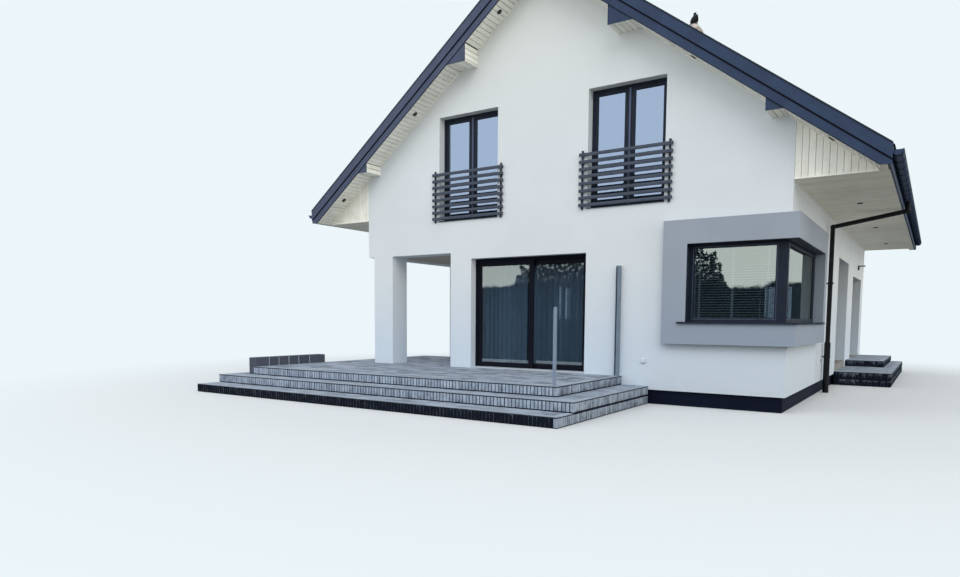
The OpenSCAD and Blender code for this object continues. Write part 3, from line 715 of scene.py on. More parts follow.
@dataclass(frozen=True)
class Pane:
    """Coated window glass. The upper floor's panes mirror more, and bluer, than the same glass below: painted
    reflection of the sky.

    Fields:
        name: The material's name.
        mirror_low: What share the ground floor's panes mirror straight on.
        mirror_high: What share the upper floor's panes mirror, raised as painted reflection.
        upper_z: The height from which panes count as the upper floor's.
        clear: The tone of what is seen through it.
    """

    name: str
    mirror_low: float
    mirror_high: float = 0.61
    upper_z: float = 3.3
    clear: Triple = (214, 227, 240)

    def make(self) -> Material:
        """A mirror over clear glass, by a share that grows with Fresnel's law, on the side light comes in.

        Returns:
            The material.
        """
        g = Graph(self.name)
        waves = g.bump(g.noise(0.9, 1.0), 0.00005)
        # Painted reflection: above upper_z the same glass mirrors more and bluer
        upper = g.span(g.height(), self.upper_z, self.upper_z + 0.05)
        sky = g.blend(upper, paint(236, 240, 230), paint(215, 232, 262))
        glossy = {"Color": sky, "Roughness": 0.005, "Normal": waves}
        mirror = g.node("ShaderNodeBsdfGlossy", glossy).outputs[0]
        leaving = g.node("ShaderNodeNewGeometry").outputs["Backfacing"]
        dimmed = g.blend(leaving, paint(*self.clear), paint(255, 255, 255))
        clear = g.node("ShaderNodeBsdfTransparent", {"Color": dimmed}).outputs[0]
        coat = g.span(upper, 0.0, 1.0, self.mirror_low, self.mirror_high)
        grazing = g.node("ShaderNodeFresnel", {"IOR": 1.5}).outputs[0]
        share = g.maths("MULTIPLY", g.maths("MAXIMUM", coat, grazing), g.maths("SUBTRACT", 1.0, leaving))
        return g.shown(g.mixed(share, clear, mirror))


@dataclass(frozen=True)
class Voile:
    """Sheer curtain cloth of fine threads. It looks denser where a fold turns it away from the pane.

    Fields:
        name: The material's name.
        threads: How often the weave repeats, by the wave texture's scale.
    """

    name: str = "white_voile"
    threads: float = 900.0

    def make(self) -> Material:
        """Threads across and along the cloth's own UV, thicker in places, over a clear ground.

        Returns:
            The material.
        """
        g = Graph(self.name)
        uv = g.node("ShaderNodeTexCoord").outputs["UV"]
        inputs = {"Vector": uv, "Scale": self.threads, "Distortion": 0.4}
        warp = g.node("ShaderNodeTexWave", inputs).outputs[1]
        slubs = g.noise(1.0, 3.0, g.stretched((160.0, 3.0, 1.0), uv))
        weave = g.span(g.maths("ADD", g.maths("MULTIPLY", warp, 0.35), slubs), 0.35, 0.95, 0.34, 0.5)
        cover = g.maths("ADD", weave, g.maths("MULTIPLY", g.attribute("damp"), 0.45))
        cloth = paint(198, 220, 238)
        front = g.node("ShaderNodeBsdfDiffuse", {"Color": cloth}).outputs[0]
        through = g.node("ShaderNodeBsdfTranslucent", {"Color": cloth}).outputs[0]
        woven = g.mixed(0.35, front, through)
        clear = g.node("ShaderNodeBsdfTransparent").outputs[0]
        return g.shown(g.mixed(cover, clear, woven))


@dataclass
class Palette:
    """All finishes of the house, made once.

    Fields:
        made: The materials by name.
    """

    made: dict[str, Material] = field(default_factory=dict)

    def __post_init__(self) -> None:
        """Makes each finish under its own name."""
        finishes = [
            # cool=1.0 lays painted shade low down and painted light at the gables' top on the outer renders
            Plaster("fine_render", (215, 221, 224), (210, 216, 219), 0.86, splash=0.08, cool=1.0),
            # A darker, warmer copy of the render: painted shade on the covered corner's ceiling
            Plaster("shaded_ceiling_render", (186, 178, 165), (178, 170, 158), 0.86),
            Plaster("grey_render", (152, 161, 172), (146, 155, 166), 0.86, cool=1.0),
            Plaster("dark_plinth", (13, 21, 42), (9, 15, 34), 0.8, 0.2),
            # Dark paint on all inner faces: painted shade of the unlit rooms seen through the windows
            Plaster("shaded_room_paint", (96, 92, 88), (86, 82, 78), 0.9),
            Plaster("chimney_render", (196, 190, 184), (184, 178, 170), 0.86),
            Coated("anthracite_metal", (46, 63, 92), (40, 55, 82), 0.5, 0.3),
            # A lighter copy of the anthracite metal: painted sheen for the front barge boards left of the
            # ridge
            Coated("painted_sheen_metal", (73, 82, 105), (65, 74, 97), 0.5, 0.3),
            # A darker copy of the window profile: painted shade on the terrace door in the covered corner,
            # also used for the shadow strips under the barge boards
            Coated("window_profile", (11, 15, 29), (7, 10, 21), 0.5, 0.16, peel=400.0),
            Coated("navy_profile", (29, 38, 54), (22, 30, 44), 0.45, 0.3, peel=400.0),
            # A lighter copy of the window profile: painted highlight on the meeting strips' caps and the
            # corner window's lips
            Coated("painted_highlight_profile", (78, 90, 118), (68, 79, 106), 0.4, 0.4),
            Coated("sill_metal", (30, 37, 54), (24, 30, 45), 0.3),
            Coated("railing_metal", (70, 78, 94), (60, 68, 83), 0.42, 0.35),
            Coated("pipe_metal", (15, 17, 22), (11, 13, 17), 0.46, 0.25),
            Coated("brushed_silver", (128, 143, 158), (116, 131, 146), 0.4, metal=0.3),
            Coated("pale_silver", (143, 157, 180), (133, 147, 170), 0.4, metal=0.2),
            Coated("rubber", (14, 14, 16), (10, 10, 12), 0.7, 0.2, peel=90.0),
            Coated("white_plastic", (206, 216, 224), (198, 208, 216), 0.5),
            Coated("sill_strip", (180, 190, 202), (168, 178, 190), 0.45),
            Coated("blind_white", (246, 248, 248), (240, 242, 242), 0.45),
            Coated("smoked_lens", (30, 30, 30), (22, 22, 22), 0.2),
            Coated("floor_screed", (146, 143, 138), (132, 129, 124), 0.7),
            Boards("soffit_boards", (244, 244, 234), (231, 231, 221), 0.55),
            Stone("pale_blocks", (176, 190, 206), (114, 128, 147), 0.84, 0.2, stain=(12, 19, 34)),
            Stone("grey_pavers", (168, 179, 193), (114, 126, 142), 0.86, 0.3, stain=(56, 64, 74)),
            Stone("planter_slabs", (82, 87, 99), (60, 65, 77), 0.86, 0.3),
            # Near-black cores behind the ribs: painted shade showing through the joints and at the ribs' foot
            Stone("block_joints", (30, 34, 46), (22, 26, 37), 0.95, 0.1),
            Stone("roof_tiles", (62, 65, 78), (44, 47, 58), 0.62),
            Pane("coated_glass", 0.42),
            # The corner window's copy of the glass: a darker clear tone as painted shade behind it, and a
            # stronger mirror as painted reflection
            Pane("corner_glass", 0.55, clear=(172, 187, 199)),
            Voile(),
        ]
        for finish in finishes:
            self.made[finish.name] = finish.make()

    def __getitem__(self, name: str) -> Material:
        """The finish of that name."""
        return self.made[name]


NODE_FINISHES = {
    "fine_render": (
        "front_wall_pier front_wall_right front_gable right_wall left_wall rear_wall loggia_back_wall"
        " loggia_side_wall loggia_column"
    ),
    "shaded_ceiling_render": "loggia_ceiling",
    "grey_render": "window_surround",
    "dark_plinth": "plinth",
    "chimney_render": "chimney",
    "floor_screed": "ground_floor",
    "shaded_room_paint": "upper_floor",
    "roof_tiles": "roof_left roof_right ridge_cap",
    "anthracite_metal": "front_barge_boards rear_barge_boards eave_fascias gutters",
    "pipe_metal": "downpipes",
    "sill_metal": "window_sill",
    # The terrace door and its sash take the darker profile as painted shade
    "window_profile": "terrace_door_frame sliding_sash",
    "navy_profile": "french_window_frames rear_window_frames corner_window_frame side_doors",
    "railing_metal": "balcony_railings",
    "soffit_boards": "verge_soffits purlin_boxes eave_soffits eave_end_panels",
    "coated_glass": "fixed_glazing sliding_glass",
    "white_voile": "terrace_curtain",
    "blind_white": "window_blind",
    "brushed_silver": "side_awning",
    "pale_blocks": "terrace_top terrace_steps",
    "planter_slabs": "planter_wall",
    "grey_pavers": "entrance_steps",
    "smoked_lens": "outdoor_lights",
}


# Further than anything on the house
FAR = 100.0


@dataclass(frozen=True)
class Region:
    """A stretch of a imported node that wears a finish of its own.

    Fields:
        node: The node.
        finish: The finish.
        low: Low corner of the box in the house frame that its polygons' middles lie in.
        high: High corner of that box.
    """

    node: str
    finish: str
    low: Triple = (-FAR, -FAR, -FAR)
    high: Triple = (FAR, FAR, FAR)


REGIONS = (
    Region("chimney", "pipe_metal", low=(-FAR, -FAR, 8.8405)),
    # Painted sheen: the front barge boards left of the ridge take a lighter copy of their metal
    Region("front_barge_boards", "painted_sheen_metal", high=(0.0, FAR, FAR)),
    # Inner faces of the walls take the dark room paint: painted shade of the unlit rooms
    Region("left_wall", "shaded_room_paint", low=(-4.13, -FAR, -FAR)),
    Region("right_wall", "shaded_room_paint", high=(4.13, FAR, FAR)),
    Region("rear_wall", "shaded_room_paint", high=(FAR, 12.52, FAR)),
    Region("front_gable", "shaded_room_paint", low=(-FAR, 0.43, -FAR)),
    Region("front_wall_right", "shaded_room_paint", low=(-FAR, 0.43, -FAR)),
    Region("loggia_back_wall", "shaded_room_paint", low=(-FAR, 3.63, -FAR)),
    Region("side_awning", "pale_silver", high=(FAR, -1.0, FAR)),
    # The corner window's panes take the darker, more mirrored copy: painted shade and painted reflection
    Region("fixed_glazing", "corner_glass", low=(2.5, -FAR, -FAR), high=(FAR, 3.1, FAR)),
)


# Pieces


@dataclass
class Part:
    """What every sub-assembly shares.

    Fields:
        palette: The finishes.
        front_y: Where the front wall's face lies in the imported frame.
    """

    palette: Palette
    front_y: float

    def shell(self) -> Shell:
        """An empty shell in the house frame."""
        return Shell(self.palette, self.front_y)

    def random(self, step: int) -> np.random.Generator:
        """A random source that gives the same numbers each run."""
        return np.random.default_rng(SEED + step)


@dataclass
class RoofForm:
    """The roof's slopes, shared by all that lies on or under them.

    Fields:
        pitch: The slopes' angle.
        eave_x: Distance from the ridge line to the eaves.
        eave_z: Height of the slopes' faces there.
        verge_y: How far the roof stands out past the gables.
        roof_t: How thick the slopes are, measured upright.
        cladding_t: How far the sloped boards' faces lie under the slopes' faces, measured upright.
        soffit_z: Height of the level eave boards.
        fascia_x: Distance from the ridge line to the fascias.
        barge_y: How far the verge boards reach past the gables.
        board_upper: Height of the barge boards' upper stage.
    """

    pitch: float = math.radians(37.3)
    eave_x: float = 5.918
    eave_z: float = 4.058
    verge_y: float = 0.503
    roof_t: float = 0.39
    cladding_t: float = 0.415
    soffit_z: float = 3.761
    fascia_x: float = 5.87
    barge_y: float = 0.463
    board_upper: float = 0.224

    @property
    def ridge_z(self) -> float:
        """The height at which the slopes meet."""
        return self.eave_z + self.eave_x * math.tan(self.pitch)

    def z(self, x: Array | float) -> Array | float:
        """The slopes' height over a place across the house."""
        return self.ridge_z - math.tan(self.pitch) * np.abs(x)

    def x(self, z: float) -> float:
        """The place right of the ridge where the slope has that height."""
        return (self.ridge_z - z) / math.tan(self.pitch)

    def on_slope(self, side: int, up: Array, y: Array, out: Array) -> Array:
        """The point up the slope from the eave, at y along it and out from its face.

        Args:
            side: -1 for the left slope and 1 for the right one.
            up: Distance from the eave, measured on the slope.
            y: Distance behind the front wall's face.
            out: Distance above the slope's face, square to it.

        Returns:
            (..., 3) points.
        """
        x = side * (self.eave_x - up * math.cos(self.pitch) + out * math.sin(self.pitch))
        z = self.eave_z + up * math.sin(self.pitch) + out * math.cos(self.pitch)
        return np.stack(np.broadcast_arrays(x, y, z), -1)


@dataclass
class TiledRoof(Part):
    """Flat roof tiles in half bond on both slopes, ridge tiles and the trims round them.

    Fields:
        form: The roof's slopes.
        gauge: Distance between courses.
        cover: Width that one tile covers.
        lap: How far a tile runs on under the next course.
        thickness: A tile's thickness.
        sunk: How far the tiles' bed lies under the barge boards' top edge.
        joint: Width of the gap between two tiles.
        eave_nose: How far the lowest course reaches past the eave.
        ridge_tile: Length of a ridge tile, about, and how far it reaches down each side.
        ridge_lift: How far the ridge tiles stand off the slopes.
    """

    form: RoofForm = field(default_factory=RoofForm)
    gauge: float = 0.335
    cover: float = 0.3
    lap: float = 0.085
    thickness: float = 0.015
    sunk: float = 0.0398
    joint: float = 0.003
    eave_nose: float = 0.035
    ridge_tile: Pair = (0.4, 0.16)
    ridge_lift: float = 0.022

    def tiles(self, side: Side) -> None:
        """One slope's tiles: each is a slab with cut edges, whose nose lies on the course below.

        Args:
            side: The slope.
        """
        form = self.form
        rise = form.eave_x / math.cos(form.pitch)
        courses = int((rise - 0.12) // self.gauge) + 1
        start = -form.barge_y + 0.004
        run = LENGTH + 2 * form.barge_y - 0.008
        columns = math.ceil(run / self.cover) + 1
        course, column = np.meshgrid(np.arange(courses), np.arange(columns), indexing="ij")
        course, column = course.ravel(), column.ravel()
        low_y = start + (column - 0.5 * (course % 2)) * self.cover
        high_y = np.minimum(low_y + self.cover - self.joint, start + run)
        low_y = np.maximum(low_y, start)
        keep = high_y - low_y > 0.03
        course, low_y, high_y = course[keep], low_y[keep], high_y[keep]
        low_up = course * self.gauge - self.eave_nose
        high_up = np.minimum(low_up + self.gauge + self.lap, rise - 0.02)
        count = len(course)
        low = np.stack([low_up, low_y, np.zeros(count)], 1)
        high = np.stack([high_up, high_y, np.full(count, self.thickness)], 1)
        points = cut_boxes(low, high, 0.004)[0]
        per = len(points) // count
        nose = np.repeat(low_up, per)
        random = self.random(side.value + 2)
        tip = 1 - (points[:, 0] - nose) / (self.gauge + self.lap)
        out = points[:, 2] - self.sunk + 0.001 + tip * (self.thickness + 0.003)
        out = out + np.repeat(random.normal(0, 0.0005, count), per)
        placed = form.on_slope(side.value, points[:, 0], points[:, 1], out)
        shell = self.shell()
        shape = turned_out(placed.reshape(count, per, 3), CUBE_FACES)
        shell.add(shape, tint=random.uniform(0.1, 0.9, count))
        fillet = np.array([[-0.012, 0.0], [0.06, 0.0], [-0.012, 0.0165]])
        ends = np.array([start, start + run])[:, None]
        wedge = form.on_slope(side.value, fillet[None, :, 0], ends, fillet[None, :, 1] - self.sunk)
        shell.add(prisms(wedge[:1], wedge[1:]), tint=0.1)
        shell.piece(f"roof_tiles_{side.name.lower()}", Slot.ROOF_TILE, "roof_tiles")

    def ridge(self) -> None:
        """Angled ridge tiles, each with a collar over the one behind it."""
        form = self.form
        about, wing = self.ridge_tile
        run = LENGTH + 2 * form.verge_y
        count = int(run / about)
        length = run / count
        share = np.linspace(-1, 1, 9)
        outer_x = wing * share
        fall = np.abs(outer_x) * math.tan(form.pitch)
        outer_z = form.ridge_z + self.ridge_lift - fall + 0.018 * (1 - share**2)
        profile = np.stack([np.r_[outer_x, outer_x[::-1]], np.r_[outer_z, outer_z[::-1] - 0.016]], 1)
        middle = np.array([0.0, form.ridge_z])
        steps = np.array([0.0, 0.06, 0.0601, 1.02]) * length
        grow = np.array([1.1, 1.1, 1.03, 0.98])
        rings = middle + (profile - middle)[None] * grow[:, None, None]
        start = -form.verge_y + np.arange(count) * length
        y = start[:, None, None] + steps[None, :, None] + np.zeros((1, 1, len(profile)))
        y = np.minimum(y, LENGTH + form.verge_y)
        x = np.broadcast_to(rings[None, :, :, 0], y.shape)
        z = np.broadcast_to(rings[None, :, :, 1], y.shape)
        shell = self.shell()
        shell.add(skins(np.stack([x, y, z], -1)), tint=self.random(5).uniform(0.2, 0.8, count))
        shell.piece("ridge_tiles", Slot.ROOF_TILE, "roof_tiles", smooth=35, node="ridge_cap")

    def verge_trims(self) -> None:
        """Folded strips along the barge boards' top edges, and near-black strips under both boards as painted
        shadow lines.
        """
        form = self.form
        drip = np.array([
            [-0.007, -0.024], [-0.0045, -0.024], [-0.0045, 0.0005], [0.05, 0.0005],
            [0.05, 0.004], [-0.007, 0.004],
        ])
        set_back = form.verge_y - form.barge_y - 0.02
        # The joint and hem strips are near-black sheets where there is only shade: painted shadow under the
        # upper board and along the lower board's foot
        joint = np.array([[-0.004, -0.03], [0.002, -0.03], [0.002, -0.0005], [-0.004, -0.0005]])
        hem = np.array([[-0.003, 0.0], [0.002, 0.0], [0.002, 0.011], [-0.003, 0.011]])
        trims, joints = self.shell(), self.shell()
        plan = (
            (trims, drip, form.eave_x),
            (joints, joint + (set_back, -form.board_upper), form.eave_x),
            (joints, hem + (set_back, -form.cladding_t), form.x(form.soffit_z + form.cladding_t)),
        )
        for (shell, outline, end), side, gable in itertools.product(plan, (-1, 1), (0, 1)):
            y = outline[:, 0] - form.verge_y if gable == 0 else LENGTH + form.verge_y - outline[:, 0]
            drop = outline[:, 1]
            rings = [np.stack([np.full(len(y), side * x), y, form.z(x) + drop], 1) for x in (0.0, end)]
            shell.add(skins(np.stack(rings)[None]))
        trims.piece("verge_trims", Slot.DARK_METAL, "navy_profile")
        joints.piece("barge_shadow_strips", Slot.DARK_METAL, "window_profile")

    def build(self) -> None:
        """Makes the tiles, the ridge and the trims."""
        self.tiles(Side.LEFT)
        self.tiles(Side.RIGHT)
        self.ridge()
        self.verge_trims()


@dataclass
class Cladding(Part):
    """White grooved boards under the roof, seen from below.

    Fields:
        form: The roof's slopes.
        pitch: Distance between the grooves.
        gap: Width of a groove's slot.
        end_gap: The same on the upright boards.
        cut: How far a board's edges are cut beside the slot.
        thickness: A board's thickness.
        purlin_x: Where the two purlin boxes start right of the ridge.
        purlin_h: Their heights.
    """

    form: RoofForm = field(default_factory=RoofForm)
    pitch: float = 0.1
    gap: float = 0.009
    end_gap: float = 0.004
    cut: float = 0.006
    thickness: float = 0.018
    purlin_x: Pair = (1.52, 4.18)
    purlin_h: Pair = (0.345, 0.2)

    def sections(self, start: float, end: float, gap: float) -> Array:
        """The cross-sections of boards laid side by side.

        Args:
            start: Where the first board starts.
            end: Where the last board ends, cut to fit.
            gap: Width of the slots between them.

        Returns:
            (boards, 6, 2) of place along the run and depth behind the face.
        """
        a = np.arange(start, end - 0.014, self.pitch) + gap / 2
        b = np.minimum(a + self.pitch - gap, end - gap / 2)
        c, t = self.cut, self.thickness
        run = np.stack([a + c, b - c, b, b, a, a], 1)
        depth = np.broadcast_to([0, 0, c, t, t, c], run.shape)
        return np.stack([run, depth], -1)

    def lay(
        self, shell: Shell, start: Array, along: Array, back: Array, across: Array, length: float, step: int
    ) -> None:
        """Lays boards side by side along a straight line.

        Args:
            shell: What takes them.
            start: The line's start on the boards' faces.
            along: Unit vector of the line.
            back: Unit vector away from the viewer.
            across: The boards' own length, as a vector.
            length: The line's length.
            step: Which random source gives the boards' tones.
        """
        flat = self.sections(0.0, length, self.gap)
        near = start + flat[..., :1] * along + flat[..., 1:] * back
        tint = self.random(step).uniform(0.15, 0.95, len(flat))
        shell.add(prisms(near, near + across), tint=tint)

    def verge(self) -> None:
        """The sloped boards and the purlin boxes in front of both gables."""
        form = self.form
        fall = math.tan(form.pitch)
        slope = np.array([math.cos(form.pitch), 0, -math.sin(form.pitch)])
        back = np.array([math.sin(form.pitch), 0, math.cos(form.pitch)])
        level, rise = np.array([1.0, 0, 0]), np.array([0, 0, 1.0])
        top = form.ridge_z - form.cladding_t
        low_x = form.x(form.soffit_z + form.cladding_t)
        purlins = list(zip(self.purlin_x, self.purlin_h))
        stops = [0.0, *(stop for x, h in purlins for stop in (x, x + h / fall)), low_x]
        sloped, boxes = self.shell(), self.shell()
        for gable, side in itertools.product((0, 1), (-1, 1)):
            y = -form.barge_y if gable == 0 else LENGTH + form.barge_y
            across = np.array([0, form.barge_y if gable == 0 else -form.barge_y, 0])
            mirror = np.array([side, 1, 1])
            for a, b in zip(stops[0::2], stops[1::2]):
                start = np.array([a, y, top - a * fall])
                length = (b - a) / math.cos(form.pitch)
                self.lay(sloped, start * mirror, slope * mirror, back * mirror, across, length, 10 + gable)
            start = np.array([low_x, y, form.soffit_z])
            self.lay(sloped, start * mirror, level * mirror, rise, across, form.fascia_x - low_x, 12)
            for x, h in purlins:
                start = np.array([x, y, top - x * fall])
                self.lay(boxes, start * mirror, -rise, level * mirror, across, h, 13)
                self.lay(boxes, (start - h * rise) * mirror, level * mirror, rise, across, h / fall, 14)
        sloped.piece("verge_boards", Slot.CLADDING, "soffit_boards", node="verge_soffits")
        boxes.piece("purlin_box_boards", Slot.CLADDING, "soffit_boards", node="purlin_boxes")

    def eaves(self) -> None:
        """The level boards along both side walls."""
        form = self.form
        along, rise = np.array([0, 1.0, 0]), np.array([0, 0, 1.0])
        shell = self.shell()
        for side in (-1, 1):
            start = np.array([side * HALF_W, 0, form.soffit_z])
            across = np.array([side * (form.fascia_x - HALF_W), 0, 0])
            self.lay(shell, start, along, rise, across, LENGTH, 15)
        shell.piece("eave_boards", Slot.CLADDING, "soffit_boards", node="eave_soffits")

    def ends(self) -> None:
        """The upright boards that close the eave boxes at the gables, cut to the slope at the top."""
        form = self.form
        shell = self.shell()
        low_z = form.soffit_z + 0.025
        end_x = form.x(form.soffit_z + form.cladding_t)
        flat = self.sections(HALF_W, end_x - 0.02, self.end_gap)
        x = flat[..., 0]
        high_z = np.maximum(form.z(x) - form.roof_t - 0.002, low_z + 0.004)
        tint = self.random(16).uniform(0.2, 1.0, len(flat))
        for gable, side in itertools.product((0, 1), (-1, 1)):
            y = flat[..., 1] if gable == 0 else LENGTH - flat[..., 1]
            near = np.stack([side * x, y, np.full(x.shape, low_z)], -1)
            far = np.stack([side * x, y, high_z], -1)
            shell.add(prisms(near, far), tint=tint)
        shell.piece("eave_end_boards", Slot.CLADDING, "soffit_boards", node="eave_end_panels")

    def trims(self) -> None:
        """Thin white strips where the boards meet the walls and the eave boxes' lower edge."""
        form = self.form
        shell = self.shell()
        low_x = form.x(form.soffit_z + form.cladding_t)
        drop = np.array([0.0, 0.0, -0.012, -0.012]) - form.cladding_t
        for gable, side in itertools.product((0, 1), (-1, 1)):
            y0, y1 = (-0.022, -0.001) if gable == 0 else (LENGTH + 0.001, LENGTH + 0.022)
            y = np.array([y0, y1, y1, y0])
            for stops in ((0.0, 1.5), (2.0, 4.16), (4.46, low_x)):
                rings = [np.stack([np.full(4, side * x), y, form.z(x) + drop], 1) for x in stops]
                shell.add(skins(np.stack(rings)[None]), tint=0.9)
            near, far = sorted((side * HALF_W, side * low_x))
            box = [near, y0, form.soffit_z], [far, y1, form.soffit_z + 0.028]
            shell.add(cut_boxes(*box, 0.002), tint=1.0)
        for side in (-1, 1):
            near, far = sorted((side * HALF_W, side * (HALF_W + 0.02)))
            box = [near, 0.02, form.soffit_z - 0.014], [far, LENGTH - 0.02, form.soffit_z - 0.001]
            shell.add(cut_boxes(*box, 0.002), tint=0.8)
        shell.piece("cladding_trims", Slot.CLADDING, "soffit_boards")

    def build(self) -> None:
        """Makes all boards and their trims."""
        self.verge()
        self.eaves()
        self.ends()
        self.trims()


@dataclass
class Glazing(Part):
    """Beads, gaskets, lips, drips and sills on the windows and the terrace door.

    Fields:
        border: Width of a two-sash window's profiles up to the pane.
        meeting: Width of the profiles between its panes.
        outer: Width of its outer frame's face.
        back: How far its sashes stand back in the outer frame.
        glass: How far its panes stand back.
        reveal: How far the windows stand back in the walls.
        width: Width of a French or plain window.
        french: Foot and height of the French windows.
        low: Foot and height of the plain windows of the ground floor.
        corner: Foot and height of the corner window's panes.
        metal: Gathers profiles.
        rubber: Gathers gaskets and seals.
    """

    border: float = 0.105
    meeting: float = 0.182
    outer: float = 0.048
    back: float = 0.014
    glass: float = 0.026
    reveal: float = 0.18
    width: float = 1.48
    french: Pair = (3.599, 2.194)
    low: Pair = (1.434, 1.35)
    corner: Pair = (1.545, 1.22)
    metal: Shell = field(init=False)
    rubber: Shell = field(init=False)

    def french_windows(self) -> list[Panel]:
        """The outer faces of the French windows, seen from outside."""
        (foot, height), w = self.french, self.width
        return [Panel((x - w / 2, self.reveal, foot), *FRONT, w, height) for x in FRENCH_X]

    def plain_windows(self) -> list[Panel]:
        """The outer faces of the plain windows in the left and rear walls.

        Returns:
            The two in the left wall and the four in the rear wall.
        """
        foot, height = self.low
        upper_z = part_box("rear_window_frames")[1].z - height
        panels = []
        for y in (5.6, 9.6):
            corner = (-HALF_W + self.reveal, y + self.width / 2, foot)
            panels.append(Panel(corner, *LEFT, self.width, height))
        for x, z in itertools.product((-2.3, 2.3), (foot, upper_z)):
            corner = (x + self.width / 2, LENGTH - self.reveal, z)
            panels.append(Panel(corner, *REAR, self.width, height))
        return panels

    def side_door(self) -> Panel:
        """The outer face of the glazed pair in the side wall."""
        return Panel((HALF_W - 0.29, 6.45, FLOOR_Z), *RIGHT, 2.117, 2.549)

    def bead(self, pane: Panel, face: float, glass: float, finish: int = 1) -> None:
        """Adds a sloped bead and a gasket round a pane.

        Args:
            pane: The pane's rectangle.
            face: Where the profile's face lies, out from the rectangle.
            glass: Where the glass lies.
            finish: Which of the piece's finishes the bead takes.
        """
        slope = [[0.0, face], [0.0, glass], [0.011, glass], [0.011, glass + 0.002], [0.003, face]]
        self.metal.add(pane.ring(slope), finish)
        strip = [[0.011, glass + 0.0025], [0.011, glass], [0.016, glass], [0.016, glass + 0.001]]
        self.rubber.add(pane.ring(strip))

    def dress(self, panel: Panel) -> None:
        """Adds beads, gaskets, raised lips, the meeting strip's cap and the drip bar's slope.

        Args:
            panel: The window's outer face.
        """
        pane_w = (panel.width - self.meeting) / 2 - self.border
        o, s = self.outer, -self.back
        edge = [
            [o - 0.009, 0.0], [o - 0.009, 0.002], [o, 0.002],
            [o + 0.0015, -0.002], [o + 0.0015, s], [o, s],
        ]
        self.metal.add(panel.ring(edge), 1)
        for left in (self.border, panel.width - self.border - pane_w):
            pane = panel.inner(left, self.border, pane_w, panel.height - 2 * self.border)
            self.bead(pane, s + 0.001, -self.glass)
            lip = pane.inner(-0.03, -0.015, pane.width + 0.06, pane.height + 0.03)
            self.metal.add(lip.ring([[0.0, s], [0.001, s + 0.003], [0.007, s + 0.003], [0.01, s]]), 1)
        middle = panel.width / 2
        top = panel.height - o - 0.006
        cap = panel.box((middle - 0.019, middle + 0.019), (o + 0.006, top), (-0.006, 0.002), 0.003)
        # The cap takes the lighter profile: a painted highlight line
        self.metal.add(cap, 2)
        drip_v = 0.084
        section = np.array([[drip_v, s], [drip_v + 0.012, s], [drip_v, -0.001]])
        ends = [panel.at(u, section[:, 0], section[:, 1]) for u in (o + 0.012, panel.width - o - 0.012)]
        self.metal.add(prisms(ends[0][None], ends[1][None]), 1)

    def corner_window(self) -> None:
        """Beads, gaskets and lips round the corner window's two panes."""
        foot, height = self.corner
        front = Panel((2.928 + 0.065, 0.038, foot), *FRONT, 1.35, height)
        side = Panel((4.518, 0.118, foot), *RIGHT, 2.752, height)
        for pane in (front, side):
            self.bead(pane, -0.009, -self.glass)
            lip = pane.inner(-0.012, -0.012, pane.width + 0.024, pane.height + 0.024)
            # The lips take the lighter profile: painted highlight lines round the panes
            self.metal.add(lip.ring([[0.0, -0.01], [0.001, -0.007], [0.006, -0.007], [0.008, -0.01]]), 2)

    def terrace_door(self) -> None:
        """The fixed half's bead, the frame's lip, and the rails and seals of the moving half's track."""
        low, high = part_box("terrace_door_frame")
        width, height = high.x - low.x, high.z - low.z
        door = Panel((low.x, self.reveal, low.z), *FRONT, width, height)
        stile = width / 2 + 0.08
        edge, foot = 0.146, 0.116
        pane = door.inner(edge, foot, stile - 0.086 - edge, height - edge - foot)
        self.bead(pane, -0.009, -0.016, 0)
        opening = door.inner(0.06, 0.03, width - 0.12, height - 0.09)
        lip = [[-0.01, 0.0], [-0.01, 0.002], [0.0, 0.002], [0.001, -0.003], [0.001, -0.01], [0.0, -0.01]]
        self.metal.add(opening.ring(lip))
        right = (width / 2 + 0.085, width - 0.062)
        for v in (0.03, height - 0.067):
            self.metal.add(door.box(right, (v, v + 0.007), (-0.036, -0.029), 0.001))
            self.rubber.add(door.box(right, (v, v + 0.003), (-0.058, -0.05), 0.0005))
        cover = (stile - 0.02, stile + 0.002), (0.035, height - 0.065), (-0.012, -0.006)
        self.metal.add(door.box(*cover, 0.002))

    def leaf(self) -> None:
        """The sliding half's bead, gasket and edge seal."""
        low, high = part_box("sliding_glass")
        sash_low, sash_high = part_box("sliding_sash")
        self.metal, self.rubber = self.shell(), self.shell()
        y = low.y - self.front_y - 0.016
        pane = Panel((low.x, y, low.z), *FRONT, high.x - low.x, high.z - low.z)
        self.bead(pane, 0.001, -0.016, 0)
        height = sash_high.z - sash_low.z - 0.04
        edge = Panel((sash_low.x, y, sash_low.z + 0.02), *FRONT, 0.02, height)
        self.rubber.add(edge.box((0.004, 0.012), (0.0, height), (-0.001, 0.0008), 0.0003))
        self.metal.piece("sliding_sash_beads", Slot.PROFILE, "window_profile", body=LEAF)
        self.rubber.piece("sliding_sash_gaskets", Slot.PROFILE, "rubber", body=LEAF)

    def sills(self) -> None:
        """Folded sills under the plain windows, with a drip nose."""
        shell = self.shell()
        out = self.reveal + 0.035
        for panel in self.plain_windows():
            shell.add(panel.box((-0.03, panel.width + 0.03), (-0.003, 0.004), (0.001, out), 0.001))
            shell.add(panel.box((-0.03, panel.width + 0.03), (-0.028, 0.004), (out - 0.004, out), 0.001))
        shell.piece("plain_window_sills", Slot.DARK_METAL, "sill_metal")

    def build(self) -> None:
        """Makes the trims of every window and of the terrace door."""
        self.metal, self.rubber = self.shell(), self.shell()
        for panel in [*self.french_windows(), *self.plain_windows(), self.side_door()]:
            self.dress(panel)
        self.corner_window()
        self.terrace_door()
        finishes = ("window_profile", "navy_profile", "painted_highlight_profile")
        self.metal.piece("window_beads", Slot.PROFILE, *finishes, smooth=25)
        self.rubber.piece("window_gaskets", Slot.PROFILE, "rubber")
        self.leaf()
        self.sills()


